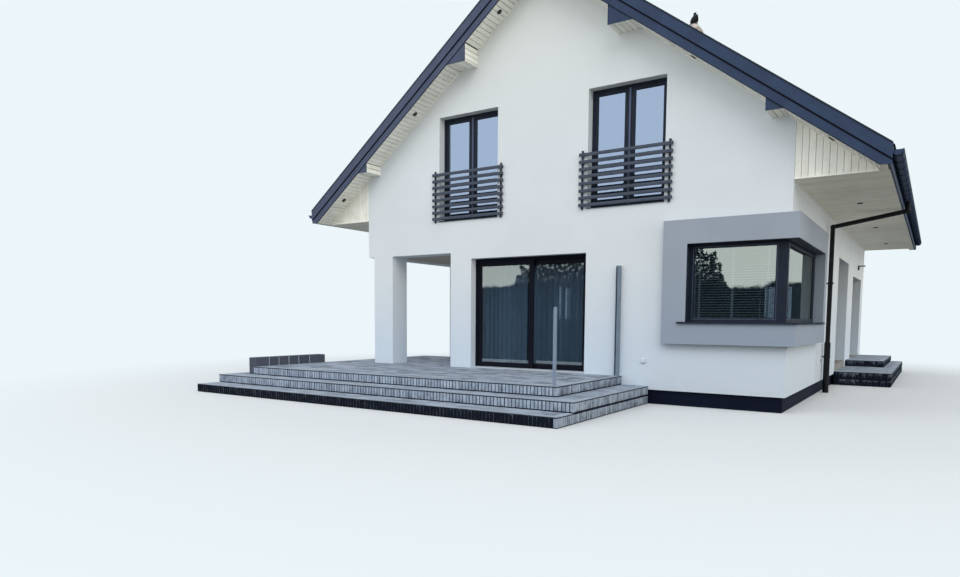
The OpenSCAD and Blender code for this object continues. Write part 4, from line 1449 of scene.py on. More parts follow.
@dataclass
class Voiles(Part):
    """The gathered sheer curtain behind the terrace door, on its track.

    Fields:
        folds: How many folds the cloth makes.
        depth: How far a fold stands off the cloth's middle plane.
        across: How many points the grid has across the cloth.
        down: How many it has down the cloth.
    """

    folds: int = 21
    depth: float = 0.029
    across: int = 810
    down: int = 24

    def build(self) -> None:
        """The cloth: a sine wave across, which wanders, deepens downwards and keeps its length."""
        low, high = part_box("terrace_curtain")
        top, foot = high.z - 0.03, low.z + 0.004
        y = (low.y + high.y) / 2 - self.front_y
        u = np.linspace(0, 1, self.across)[None]
        v = np.linspace(0, 1, self.down)[:, None]
        random = self.random(30)
        wander = sum(
            random.uniform(0.2, 0.5) / k * np.sin(2 * math.pi * (k * u + random.uniform()))
            for k in (1, 2, 3, 5)
        )
        swell = 0.68 + 0.32 * np.sin(2 * math.pi * (4.3 * u + random.uniform()))
        phase = 2 * math.pi * self.folds * u + 3.6 * wander + 0.35 * np.sin(3 * v + 9 * u)
        size = self.depth * swell * (0.7 + 0.3 * v)
        offset = size * np.sin(phase) + 0.12 * size * np.sin(2 * phase + 1)
        x = low.x + 0.02 + u * (high.x - low.x - 0.04) + 0.25 * size * np.sin(2 * phase)
        z = top + v * (foot - top) + np.zeros_like(u)
        grid = np.stack(np.broadcast_arrays(x, y + offset, z), -1)
        flat_w = float(np.linalg.norm(np.diff(grid, axis=1), axis=-1).sum(1).mean())
        index = np.arange(grid.shape[0] * grid.shape[1]).reshape(grid.shape[:2])
        quads = np.stack([index[:-1, :-1], index[1:, :-1], index[1:, 1:], index[:-1, 1:]], -1)
        shell = self.shell()
        ahead = np.gradient(grid, axis=1)
        lean = np.abs(ahead[..., 1]) / np.linalg.norm(ahead, axis=-1)
        shell.add((grid.reshape(-1, 3), [quads.reshape(-1, 4)]), damp=lean.ravel() ** 2)
        cloth = shell.piece("sheer_curtain", Slot.SHEER, "white_voile", smooth=60, node="terrace_curtain")
        uv = np.stack(np.broadcast_arrays(u * flat_w, (1 - v) * (top - foot)), -1).reshape(-1, 2)
        layer = cloth.data.uv_layers.new(name="cloth")
        corner = np.zeros(len(cloth.data.loops), int)
        cloth.data.loops.foreach_get("vertex_index", corner)
        layer.uv.foreach_set("vector", uv[corner].ravel())
        track = self.shell()
        rail = [low.x + 0.01, y - 0.014, high.z - 0.026], [high.x - 0.01, y + 0.014, high.z]
        track.add(cut_boxes(*rail, 0.003))
        track.piece("curtain_track", Slot.BLIND, "white_plastic")


@dataclass
class SlattedBlind(Part):
    """The slatted blind behind the corner window's front pane.

    Fields:
        pitch: Distance between the slats.
        slat_w: Width of a slat.
        tilt: How far the slats are turned down towards the room, in degrees.
    """

    pitch: float = 0.044
    slat_w: float = 0.029
    tilt: float = 24.0

    def build(self) -> None:
        """Curved slats one above the other, a head rail, a bottom rail and ladder tapes."""
        low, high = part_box("window_blind")
        x0, x1 = low.x + 0.008, high.x - 0.008
        y = (low.y + high.y) / 2 - self.front_y
        shell = self.shell()
        levels = np.arange(low.z + 0.03, high.z - 0.05, self.pitch)
        bow = np.linspace(-0.5, 0.5, 5)
        turn = math.radians(self.tilt)
        ribs = np.concatenate([bow, bow[::-1]]) * self.slat_w
        crown = 0.0022 * (1 - 4 * (ribs / self.slat_w) ** 2) + np.repeat([0.0004, -0.0004], 5)
        flat_y = ribs * math.cos(turn) + crown * math.sin(turn)
        flat_z = ribs * math.sin(turn) + crown * math.cos(turn)
        ends = [np.stack(np.broadcast_arrays(x, y + flat_y, levels[:, None] + flat_z), -1) for x in (x0, x1)]
        shell.add(prisms(*ends))
        shell.add(cut_boxes([x0, y - 0.0135, high.z - 0.04], [x1, y + 0.0135, high.z], 0.003))
        shell.add(cut_boxes([x0, y - 0.0135, low.z], [x1, y + 0.0135, low.z + 0.016], 0.004))
        for share in (0.085, 0.49, 0.9):
            x = x0 + share * (x1 - x0)
            for side in (-1, 1):
                near, far = sorted((y + side * 0.0142, y + side * 0.0147))
                tape = [x - 0.015, near, low.z + 0.01], [x + 0.015, far, high.z - 0.03]
                shell.add(cut_boxes(*tape, 0.0001))
        shell.piece("slatted_blind", Slot.BLIND, "blind_white", smooth=30, node="window_blind")


@dataclass
class GardenTerrace(Part):
    """Upright ribbed blocks, tread edges and pavers of the garden terrace and its steps.

    Fields:
        riser: Height of one step.
        x: Left and right edges of the top level.
        depth: How far the top level reaches in front of the wall.
        tread: Treads of the second level at the front, left and right.
        bottom: Tread of the bottom step.
        pitch: Distance between the ribs' joints.
        edge: Height of the edge stones on top of each riser.
        foot: Height of the shadow joint under the ribs.
        core_inset: How far the dark cores stand back behind the ribs' faces.
        bed: How far the cores' tops lie under the pavers' faces.
        strip_w: Thickness of the ribs and width of the edge stones.
        stone: Length of an edge stone, about.
        paver: Length and width of a paver, about.
        joint: Half the gap between two stones or pavers.
        loggia: Left end and depth of the covered corner's floor.
        upper_step: Right end and start of the side entrance's upper step.
        house_x: The left wall's face, where the terrace's back end stops.
        blocks, tops, pavers, core: Gather ribs, edge stones, pavers and the dark cores, which are painted
            shade behind the ribs.
    """

    riser: float = 0.162
    x: Pair = (-5.428, 1.744)
    depth: float = 2.631
    tread: Triple = (0.435, 0.58, 0.507)
    bottom: float = 0.512
    pitch: float = 0.0655
    edge: float = 0.015
    foot: float = 0.012
    core_inset: float = 0.011
    bed: float = 0.012
    strip_w: float = 0.13
    stone: float = 0.6
    paver: Pair = (0.3, 0.2)
    joint: float = 0.0015
    loggia: Pair = (-2.194, 3.2)
    upper_step: Pair = (5.456, 8.797)
    house_x: float = -4.557
    blocks: Shell = field(init=False)
    tops: Shell = field(init=False)
    pavers: Shell = field(init=False)
    core: Shell = field(init=False)

    def start(self) -> None:
        """Empties what gathers the shapes."""
        self.blocks, self.tops, self.pavers, self.core = (self.shell() for _ in range(4))

    def pieces(self, name: str, blocks_node: str, pavers_node: str) -> None:
        """Makes the pieces of what was gathered.

        Args:
            name: What their names start with.
            blocks_node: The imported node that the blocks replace, or nothing.
            pavers_node: The one that the pavers replace.
        """
        plan = (
            (self.blocks, "blocks", "pale_blocks", blocks_node),
            (self.tops, "edge_stones", "grey_pavers", ""),
            (self.pavers, "pavers", "grey_pavers", pavers_node),
            (self.core, "joint_bed", "block_joints", ""),
        )
        for shell, part, finish, node in plan:
            shell.piece(f"{name}_{part}", Slot.PAVING, finish, node=node)

    def ribs(self, a: float, b: float, step: int) -> tuple[Array, Array]:
        """Shares a length out among ribs, in groups of seven to ten with a wider joint between.

        Args:
            a: Where the row starts.
            b: Where it ends.
            step: Which random source sets the groups.

        Returns:
            Each rib's start and end.
        """
        random = self.random(step)
        count = max(1, round((b - a) / self.pitch))
        edges = np.linspace(a, b, count + 1)
        gap = np.full(count + 1, 0.008)
        place = int(random.integers(3, 8))
        while place < count:
            gap[place] = 0.014
            place += int(random.integers(7, 11))
        gap[[0, -1]] = 0.0
        return edges[:-1] + gap[:-1] / 2, edges[1:] - gap[1:] / 2

    def row(
        self, along: int, a: float, b: float, face: float, way: int, foot: int, step: int, damp: float
    ) -> None:
        """A row of ribs with a shadow joint at its foot.

        Args:
            along: The axis that the row runs along, 0 or 1.
            a: Its low end.
            b: Its high end.
            face: The plane of the ribs' faces.
            way: 1 where they look to the high side of the other axis, and -1 to the low side.
            foot: How many risers it stands above the ground.
            step: Which random source it uses.
            damp: How stained the row is, over 1 where no pale patch is left.
        """
        start, end = self.ribs(a, b, step)
        random = self.random(step + 50)
        count = len(start)
        front = face - way * random.uniform(0.0, 0.002, count)
        back = np.full(count, face - way * self.strip_w)
        low_z, high_z = foot * self.riser + self.foot, (foot + 1) * self.riser - self.edge - 0.003
        lows = np.zeros((count, 3))
        highs = np.zeros((count, 3))
        lows[:, along], highs[:, along] = start, end
        lows[:, 1 - along], highs[:, 1 - along] = np.minimum(front, back), np.maximum(front, back)
        lows[:, 2], highs[:, 2] = low_z, high_z
        shape = cut_boxes(lows, highs, 0.006)
        own = np.repeat(np.maximum(damp + random.normal(0, 0.07, count) * (damp > 0), 0), 24)
        low_share = 1 - (shape[0][:, 2] - low_z) / (high_z - low_z)
        # Damp stain of the row, more towards the foot on damp rows, plus painted shade darkening every rib
        # towards its foot
        stain_and_shade = own + 0.35 * min(damp, 1.0) * low_share + 0.12 * low_share
        # Painted shade: joint faces and tops are dark, as in the narrow gaps and under the edge stones, but
        # for the row's two end faces
        stain_and_shade = stain_and_shade.reshape(count, 8, 3)
        own = stain_and_shade.copy()
        stain_and_shade[..., along] = 0.75
        stain_and_shade[..., 2] = 0.9
        corner = np.array(list(itertools.product((0, 1), repeat=3)))[:, along]
        stain_and_shade[0, corner == 0, along] = own[0, corner == 0, along]
        stain_and_shade[-1, corner == 1, along] = own[-1, corner == 1, along]
        self.blocks.add(shape, tint=random.uniform(0.15, 1.0, count), damp=stain_and_shade.ravel())

    def edging(self, along: int, low: Numbers, high: Numbers, top: float, step: int) -> None:
        """A run of edge stones, pale on top and dark down their faces as painted shade under the tread's
        edge.

        Args:
            along: The axis that it runs along, 0 or 1.
            low: The run's low corner in X and Y.
            high: Its high corner.
            top: The stones' upper faces.
            step: Which random source gives the tones.
        """
        count = max(1, round((high[along] - low[along]) / self.stone))
        edges = np.linspace(low[along], high[along], count + 1)
        lows = np.tile([low[0], low[1], top - self.edge], (count, 1))
        highs = np.tile([high[0], high[1], top], (count, 1))
        lows[:, along] = edges[:-1] + self.joint
        highs[:, along] = edges[1:] - self.joint
        shape = cut_boxes(lows, highs, 0.003)
        tint = self.random(step).uniform(0.4, 1.0, count)
        # Painted shade: every face below the top takes the dark stain tone
        self.tops.add(shape, tint=tint, damp=1.3 * (shape[0][:, 2] < top - 0.001))

    def pave(self, low: Numbers, high: Numbers, top: float, step: int, worn: float = 0.4) -> None:
        """Fills a rectangle with pavers in half bond, with narrow joints.

        Args:
            low: The rectangle's low corner in X and Y.
            high: Its high corner.
            top: The pavers' upper faces.
            step: Which random source gives the tones.
            worn: How stained the darkest ones are.
        """
        long, wide = self.paver
        rows = max(1, round((high[1] - low[1]) / wide))
        wide = (high[1] - low[1]) / rows
        columns = math.ceil((high[0] - low[0]) / long) + 1
        row, column = (g.ravel() for g in np.meshgrid(np.arange(rows), np.arange(columns), indexing="ij"))
        a = low[0] + (column - 0.5 * (row % 2)) * long
        b = np.minimum(a + long, high[0])
        a = np.maximum(a, low[0])
        keep = b - a > 0.02
        a, b, row = a[keep], b[keep], row[keep]
        random = self.random(step)
        count = len(a)
        level = top - random.uniform(0, 0.0012, count)
        lows = np.stack([a + self.joint, low[1] + row * wide + self.joint, level - 0.05], 1)
        highs = np.stack([b - self.joint, low[1] + (row + 1) * wide - self.joint, level], 1)
        tint = random.uniform(0.15, 1.0, count)
        self.pavers.add(cut_boxes(lows, highs, 0.003), tint=tint, damp=random.uniform(0, worn, count))

    def build(self) -> None:
        """Makes the ribs and edge stones round both levels and the bottom step, the pavers and the cores."""
        x0, x1 = self.x
        r, w, lip = self.riser, self.strip_w, -self.depth
        left, right = x0 - self.tread[1], x1 + self.tread[2]
        front = lip - self.tread[0]
        end = front - self.bottom
        back = self.loggia[1]
        self.start()
        dark = right - self.pitch
        rows = (
            (0, x0, x1, lip, -1, 2, 0.16), (0, left, right, front, -1, 1, 0.2),
            (0, left, dark, end, -1, 0, 1.05), (0, dark, right, end, -1, 0, 0.0),
            (1, lip + w, 0.0, x1, 1, 2, 0.34), (1, front + w, 0.0, right, 1, 1, 0.2),
            (1, front, 0.0, right, 1, 0, 0.26), (1, end + w, front, right, 1, 0, 0.1),
            (1, lip + w, back, x0, -1, 2, 0.2), (1, front + w, back, left, -1, 1, 0.2),
            (1, front, back, left, -1, 0, 0.3), (1, end + w, front, left, -1, 0, 0.3),
            (0, left + w, self.house_x, back, 1, 0, 0.3), (0, left + w, self.house_x, back, 1, 1, 0.2),
            (0, x0 + w, self.house_x, back, 1, 2, 0.2),
        )
        for step, (*place, damp) in enumerate(rows, 60):
            self.row(*place, step, damp)
        runs = (
            (0, (x0, lip), (x1, lip + w), 3), (1, (x1 - w, lip + w), (x1, 0.0), 3),
            (1, (x0, lip + w), (x0 + w, back), 3), (0, (left, front), (right, front + w), 2),
            (1, (right - w, front + w), (right, 0.0), 2), (1, (left, front + w), (left + w, back), 2),
            (0, (left, end), (right, end + w), 1), (1, (right - w, end + w), (right, front), 1),
            (1, (left, end + w), (left + w, front), 1),
        )
        for step, (*place, level) in enumerate(runs, 120):
            self.edging(*place, level * r, step)
        self.pave((x0 + w, lip + w), (x1 - w, 0.0), 3 * r, 80, 0.6)
        self.pave((x0 + w, 0.0), (self.loggia[0], back), 3 * r, 81, 0.6)
        self.pave((left + w, front + w), (right - w, lip), 2 * r, 82)
        self.pave((x1, lip), (right - w, 0.0), 2 * r, 83)
        self.pave((left + w, lip), (x0, back), 2 * r, 84)
        self.pave((left + w, end + w), (right - w, front), r, 85)
        c, deep = self.core_inset, self.bed
        lows = [
            [x0 + c, lip + c, 0.1], [x0 + c, -0.01, 0.1], [left + c, front + c, 0.0],
            [left + c, -0.01, 0.0], [left + c, end + c, 0.0],
        ]
        highs = [
            [x1 - c, -0.001, 3 * r - deep], [self.loggia[0], back - c, 3 * r - deep],
            [right - c, -0.001, 2 * r - deep], [self.loggia[0], back - c, 2 * r - deep],
            [right - c, front + 0.1, r - deep],
        ]
        # The near-black cores show through the ribs' joints as painted shade
        self.core.add(cut_boxes(np.array(lows), np.array(highs), 0.002), tint=0.3)
        self.pieces("terrace", "terrace_steps", "terrace_top")
        self.entrance()
        self.planter()

    def entrance(self) -> None:
        """The landing and the upper step along the side wall, of blocks darkened as painted shade, under
        pavers.
        """
        low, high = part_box("entrance_steps")
        x0, x1 = low.x + 0.001, high.x
        y0, y1 = low.y - self.front_y, high.y - self.front_y
        ux, uy = self.upper_step
        r, w, c = self.riser, self.strip_w, self.core_inset
        self.start()
        rows = (
            (0, x0, x1, y0, -1, (0, 1)), (1, y0 + w, y1 - w, x1, 1, (0, 1)), (0, x0, x1, y1, 1, (0, 1)),
            (0, x0, ux, uy, -1, (2,)), (1, uy + w, y1 - w, ux, 1, (2,)), (0, x0, ux, y1, 1, (2,)),
        )
        for step, (*place, feet) in enumerate(rows, 140):
            for foot in feet:
                # Painted shade: the entrance's ribs take a high damp value so that the risers read dark
                self.row(*place, foot, step, 0.8)
        runs = (
            (0, (x0, y0), (x1, y0 + w), 2), (1, (x1 - w, y0 + w), (x1, y1 - w), 2),
            (0, (ux, y1 - w), (x1, y1), 2), (0, (x0, uy), (ux, uy + w), 3),
            (1, (ux - w, uy + w), (ux, y1 - w), 3), (0, (x0, y1 - w), (ux, y1), 3),
        )
        for step, (*place, level) in enumerate(runs, 150):
            self.edging(*place, level * r, step)
        self.pave((x0, y0 + w), (x1 - w, uy), 2 * r, 160)
        self.pave((ux, uy), (x1 - w, y1 - w), 2 * r, 161)
        self.pave((x0, uy + w), (ux - w, y1 - w), 3 * r, 162)
        self.core.add(cut_boxes([x0, y0 + c, 0.0], [x1 - c, y1 - c, 2 * r - self.bed], 0.002), tint=0.3)
        self.core.add(cut_boxes([x0, uy + c, r], [ux - c, y1 - c, 3 * r - self.bed], 0.002), tint=0.3)
        self.pieces("entrance", "", "entrance_steps")

    def planter(self) -> None:
        """The low wall on the terrace's left edge: dark blocks of many lengths with pale upright joints."""
        lengths = [0.0, 0.35, 0.26, 0.28, 0.28, 0.32, 0.48]
        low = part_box("planter_wall")[0]
        start = low.y - self.front_y
        edges = start + np.cumsum(lengths)
        outer, inner = self.x[0] - 0.15, self.x[0] + 0.08
        top = 3 * self.riser
        shell = self.shell()
        for near_x, foot, head in ((self.x[0] - 0.004, low.z, top), (inner, top, top + 0.19)):
            lows = [[outer, y + 0.006, foot + 0.001] for y in edges[:-1]]
            highs = [[near_x, y - 0.006, head - 0.001] for y in edges[1:]]
            tint = self.random(90).uniform(0.2, 0.9, len(lows))
            shell.add(cut_boxes(np.array(lows), np.array(highs), 0.006), tint=tint)
            bed = [outer + 0.004, start + 0.012, foot], [near_x - 0.003, edges[-1] - 0.012, head - 0.005]
            shell.add(cut_boxes(*bed, 0.002), finish=1, tint=0.7)
        shell.piece("planter_slabs", Slot.PAVING, "planter_slabs", "pale_blocks", node="planter_wall")


@dataclass
class Railings(Part):
    """The railings in front of the two French windows: box bars bolted to two posts on wall plates.

    Fields:
        bars: How many bars each has.
        pitch: Distance between the bars' middles.
        first_z: Height of the lowest bar's middle.
        bar: Height and thickness of a bar.
        width: A bar's length.
        post: Width and thickness of a post.
        inset: How far a post's middle stands in from the bars' ends.
        reach: How far a post runs past the outer bars' edges.
        plate_t: Thickness of the wall plates.
    """

    bars: int = 8
    pitch: float = 0.1325
    first_z: float = 3.664
    bar: Pair = (0.06, 0.03)
    width: float = 1.785
    post: Pair = (0.035, 0.024)
    inset: float = 0.06
    reach: float = 0.081
    plate_t: float = 0.008

    def rods(self, shell: Shell, middle: float) -> None:
        """Adds the bars: a rounded rectangle carried along X, with a thin cap at each end.

        Args:
            shell: What takes them.
            middle: The window's middle across the house.
        """
        high, deep = self.bar
        front = -self.plate_t - self.post[1] - deep / 2
        corner, cap = 0.004, 0.003
        end = self.width / 2
        quarter = np.linspace(0, math.pi / 2, 4)
        turns = np.concatenate([quarter + k * math.pi / 2 for k in range(4)])
        centre_y = np.repeat([1, -1, -1, 1], 4) * (deep / 2 - corner)
        centre_z = np.repeat([1, 1, -1, -1], 4) * (high / 2 - corner)
        y = front + centre_y + corner * np.cos(turns)
        z = centre_z + corner * np.sin(turns)
        levels = self.first_z + self.pitch * np.arange(self.bars)
        for near, far, grow, finish in (
            (cap - end, end - cap, 1.0, 0), (-end, cap - end, 0.94, 1), (end - cap, end, 0.94, 1),
        ):
            ring_y, ring_z = front + grow * (y - front), levels[:, None] + grow * z
            ends = [np.stack(np.broadcast_arrays(middle + x, ring_y, ring_z), -1) for x in (near, far)]
            shell.add(prisms(*ends), finish)

    def posts(self, shell: Shell, middle: float) -> None:
        """Adds the posts, their wall plates, the plates' screws and the bolts through the bars.

        Args:
            shell: What takes them.
            middle: The window's middle across the house.
        """
        wide, deep = self.post
        low = self.first_z - self.reach
        high = self.first_z + (self.bars - 1) * self.pitch + self.reach
        screw = [[0.006, 0.0], [0.006, 0.004], [0.004, 0.006]]
        bolt = [[0.007, 0.0], [0.007, 0.001], [0.004, 0.004]]
        for side in (-1, 1):
            x = middle + side * (self.width / 2 - self.inset)
            back = -self.plate_t
            # Posts and plates take the darker navy finish: painted shade behind the bars
            shell.add(cut_boxes([x - wide / 2, back - deep, low], [x + wide / 2, back, high], 0.003), 1)
            for k in (1, self.bars - 2):
                z = self.first_z + k * self.pitch
                shell.add(cut_boxes([x - wide, back, z - 0.028], [x + wide, 0.0, z + 0.028], 0.002), 1)
                for offset in (-0.026, 0.026):
                    shell.add(turning(screw, (x + offset, back, z), (0, -1, 0), 6), 2)
            for k in range(self.bars):
                place = (x, back - deep - self.bar[1], self.first_z + k * self.pitch)
                shell.add(turning(bolt, place, (0, -1, 0), 8), 2)

    def build(self) -> None:
        """Makes both railings."""
        shell = self.shell()
        for middle in FRENCH_X:
            self.rods(shell, middle)
            self.posts(shell, middle)
        finishes = ("railing_metal", "navy_profile", "pipe_metal")
        shell.piece("window_railings", Slot.DARK_METAL, *finishes, smooth=35, node="balcony_railings")


@dataclass
class Ironwork(Part):
    """Gutter brackets, the awning's fittings, flashings, the socket and small trims.

    Fields:
        form: The roof's slopes.
        gutter_r: Radius of the gutters.
        strap: How far the straps' inner faces stand off the gutters, their thickness and their width.
        brackets: How many straps each gutter has.
        gutter_end: How far the gutters' rolled edges reach past the gables.
        case: Width and depth of the awning's case.
        case_x: Its middle across the house.
        post: The awning post's middle in X and Y, its width and its height.
        spot_x: Places of the verges' spot lights across the house.
        spot_y: Places of the eaves' spot lights along it.
        chimney: The chimney's low and high sides in X and Y.
    """

    form: RoofForm = field(default_factory=RoofForm)
    gutter_r: float = 0.075
    strap: Triple = (0.003, 0.004, 0.025)
    brackets: int = 27
    gutter_end: float = 0.47
    case: Pair = (0.07, 0.095)
    case_x: float = 1.659
    post: Quad = (1.666, -2.558, 0.042, 1.22)
    spot_x: Triple = (0.85, 2.97, 5.1)
    spot_y: Triple = (3.0, 7.0, 11.0)
    chimney: Quad = (1.0, 1.34, 5.43, 5.77)

    def gutter_brackets(self) -> None:
        """Half-round straps under both gutters, about every half metre, and the gutters' rolled edges."""
        low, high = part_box("gutters")
        off, thick, wide = self.strap
        radius = self.gutter_r + np.array([off, off + thick, off + thick, off])
        middle_x, z = high.x - self.gutter_r, low.z + self.gutter_r
        arc = np.linspace(math.pi, 2 * math.pi, 13)
        places = np.linspace(0.09 - self.gutter_end, LENGTH + self.gutter_end - 0.09, self.brackets)
        y = places[:, None] + np.array([-wide, -wide, wide, wide]) / 2
        shell = self.shell()
        for side in (-1, 1):
            rings = []
            for turn in arc:
                x = side * (middle_x + radius * math.cos(turn))
                rings.append(np.stack(np.broadcast_arrays(x, y, z + radius * math.sin(turn)), -1))
            shell.add(skins(np.stack(rings, 1)))
            start = (side * (middle_x + self.gutter_r), -self.gutter_end, z + 0.001)
            bead = [[0.0075, 0.0], [0.0075, LENGTH + 2 * self.gutter_end]]
            shell.add(turning(bead, start, (0, 1, 0), 10))
        shell.piece("gutter_brackets", Slot.DARK_METAL, "pipe_metal", smooth=40)

    def socket(self) -> None:
        """The weatherproof socket on the front wall: a plate, a hinged lid and its lip."""
        wall = Panel((2.114, 0.0, 0.741), *FRONT, 0.08, 0.08)
        shell = self.shell()
        shell.add(wall.box((0.0, 0.08), (0.0, 0.08), (0.0, 0.022), 0.005))
        shell.add(wall.box((0.008, 0.072), (0.006, 0.066), (0.02, 0.04), 0.006))
        shell.add(wall.box((0.02, 0.06), (0.0, 0.01), (0.024, 0.036), 0.003))
        shell.add(turning([[0.004, 0.0], [0.004, 0.056]], wall.at(0.012, 0.07, 0.028), (1, 0, 0), 10))
        shell.piece("wall_socket", Slot.LAMP, "white_plastic")

    def threshold(self) -> None:
        """The white sill strip under the terrace door."""
        low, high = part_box("terrace_door_frame")
        shell = self.shell()
        near = [low.x + 0.002, 0.012, low.z - 0.03]
        far = [high.x - 0.002, low.y - self.front_y - 0.001, low.z + 0.03]
        shell.add(cut_boxes(near, far, 0.003))
        shell.piece("threshold_strip", Slot.CLADDING, "sill_strip")

    def awning(self) -> None:
        """End caps, a pull bar, a latch and slots on the awning's case, and its post's cap."""
        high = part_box("side_awning")[1]
        width, deep = self.case
        case = Panel((self.case_x - width / 2, -deep, FLOOR_Z), *FRONT, width, high.z - FLOOR_Z)
        shell, dark = self.shell(), self.shell()
        rim = (-0.002, width + 0.002)
        shell.add(case.box(rim, (case.height - 0.02, case.height + 0.004), (-deep + 0.002, 0.003), 0.004))
        shell.add(case.box(rim, (0.0, 0.016), (-deep + 0.002, 0.003), 0.003))
        shell.add(case.box((0.0, 0.007), (0.03, case.height - 0.04), (0.0, 0.01), 0.002))
        shell.add(case.box((0.062, 0.069), (0.02, case.height - 0.024), (0.0, 0.0025), 0.001))
        shell.add(case.box((0.0, 0.022), (1.21, 1.34), (0.009, 0.03), 0.005))
        dark.add(case.box((0.008, 0.026), (0.02, case.height - 0.024), (-0.004, 0.0015), 0.001))
        x, y, wide, height = self.post
        post = Panel((x - wide / 2, y - wide / 2, FLOOR_Z), *FRONT, wide, height)
        rim = (-0.002, wide + 0.002)
        shell.add(post.box(rim, (post.height - 0.004, post.height + 0.006), (-wide - 0.002, 0.002), 0.003))
        bolt = [[0.007, 0.0], [0.007, 0.005], [0.004, 0.007]]
        for u, o in itertools.product((-0.012, wide + 0.012), (-wide - 0.012, 0.012)):
            shell.add(turning(bolt, post.at(u, 0.008, o), (0, 0, 1), 6))
        shell.piece("awning_fittings", Slot.AWNING, "brushed_silver")
        dark.piece("awning_slot", Slot.AWNING, "sill_metal")

    def spot_trims(self) -> None:
        """Dark rings round the spot lights in the soffits."""
        form = self.form
        shell = self.shell()
        ring = [[0.037, 0.004], [0.046, 0.0], [0.052, 0.0], [0.052, 0.003], [0.044, 0.013], [0.037, 0.013]]
        for side in (-1, 1):
            for x in self.spot_x:
                down = (-side * math.sin(form.pitch), 0.0, -math.cos(form.pitch))
                foot = (side * x, -form.verge_y / 2, form.z(x) - form.cladding_t)
                shell.add(turning(ring, foot, down, 28, looped=True))
            for y in self.spot_y:
                foot = (side * (HALF_W + form.eave_x) / 2, y, form.soffit_z)
                shell.add(turning(ring, foot, (0, 0, -1), 28, looped=True))
        shell.piece("spot_trims", Slot.LAMP, "pipe_metal", smooth=30)

    def utility_door(self) -> None:
        """The flush white cabinet door low in the right wall, with its frame and latch."""
        wall = Panel((HALF_W, 3.3, 0.3), *RIGHT, 0.72, 0.76)
        frame, gap = 0.022, 0.026
        shell, dark = self.shell(), self.shell()
        shell.add(wall.ring([[0.0, 0.0], [0.0, 0.008], [frame, 0.008], [frame, 0.0]]))
        shell.add(wall.box((gap, wall.width - gap), (gap, wall.height - gap), (0.0, 0.005), 0.002))
        dark.add(wall.box((0.64, 0.67), (0.36, 0.42), (0.004, 0.012), 0.002))
        shell.piece("utility_door", Slot.CLADDING, "white_plastic")
        dark.piece("utility_latch", Slot.LAMP, "pipe_metal")

    def chimney_flashing(self) -> None:
        """The folded metal apron where the chimney leaves the right slope."""
        x0, x1, y0, y1 = self.chimney
        sunk = 0.045
        shell = self.shell()
        for high, out in ((0.15, 0.012), (0.004, 0.142)):
            x = np.array([x0 - out, x1 + out, x1 + out, x0 - out])
            y = np.array([y0 - out, y0 - out, y1 + out, y1 + out])
            ring = np.stack([x, y, self.form.z(x) - sunk], 1)
            shell.add(prisms(ring[None], ring[None] + (0.0, 0.0, sunk + high)))
        shell.piece("chimney_flashing", Slot.DARK_METAL, "pipe_metal")

    def build(self) -> None:
        """Makes all of it."""
        self.gutter_brackets()
        self.socket()
        self.threshold()
        self.awning()
        self.spot_trims()
        self.utility_door()
        self.chimney_flashing()


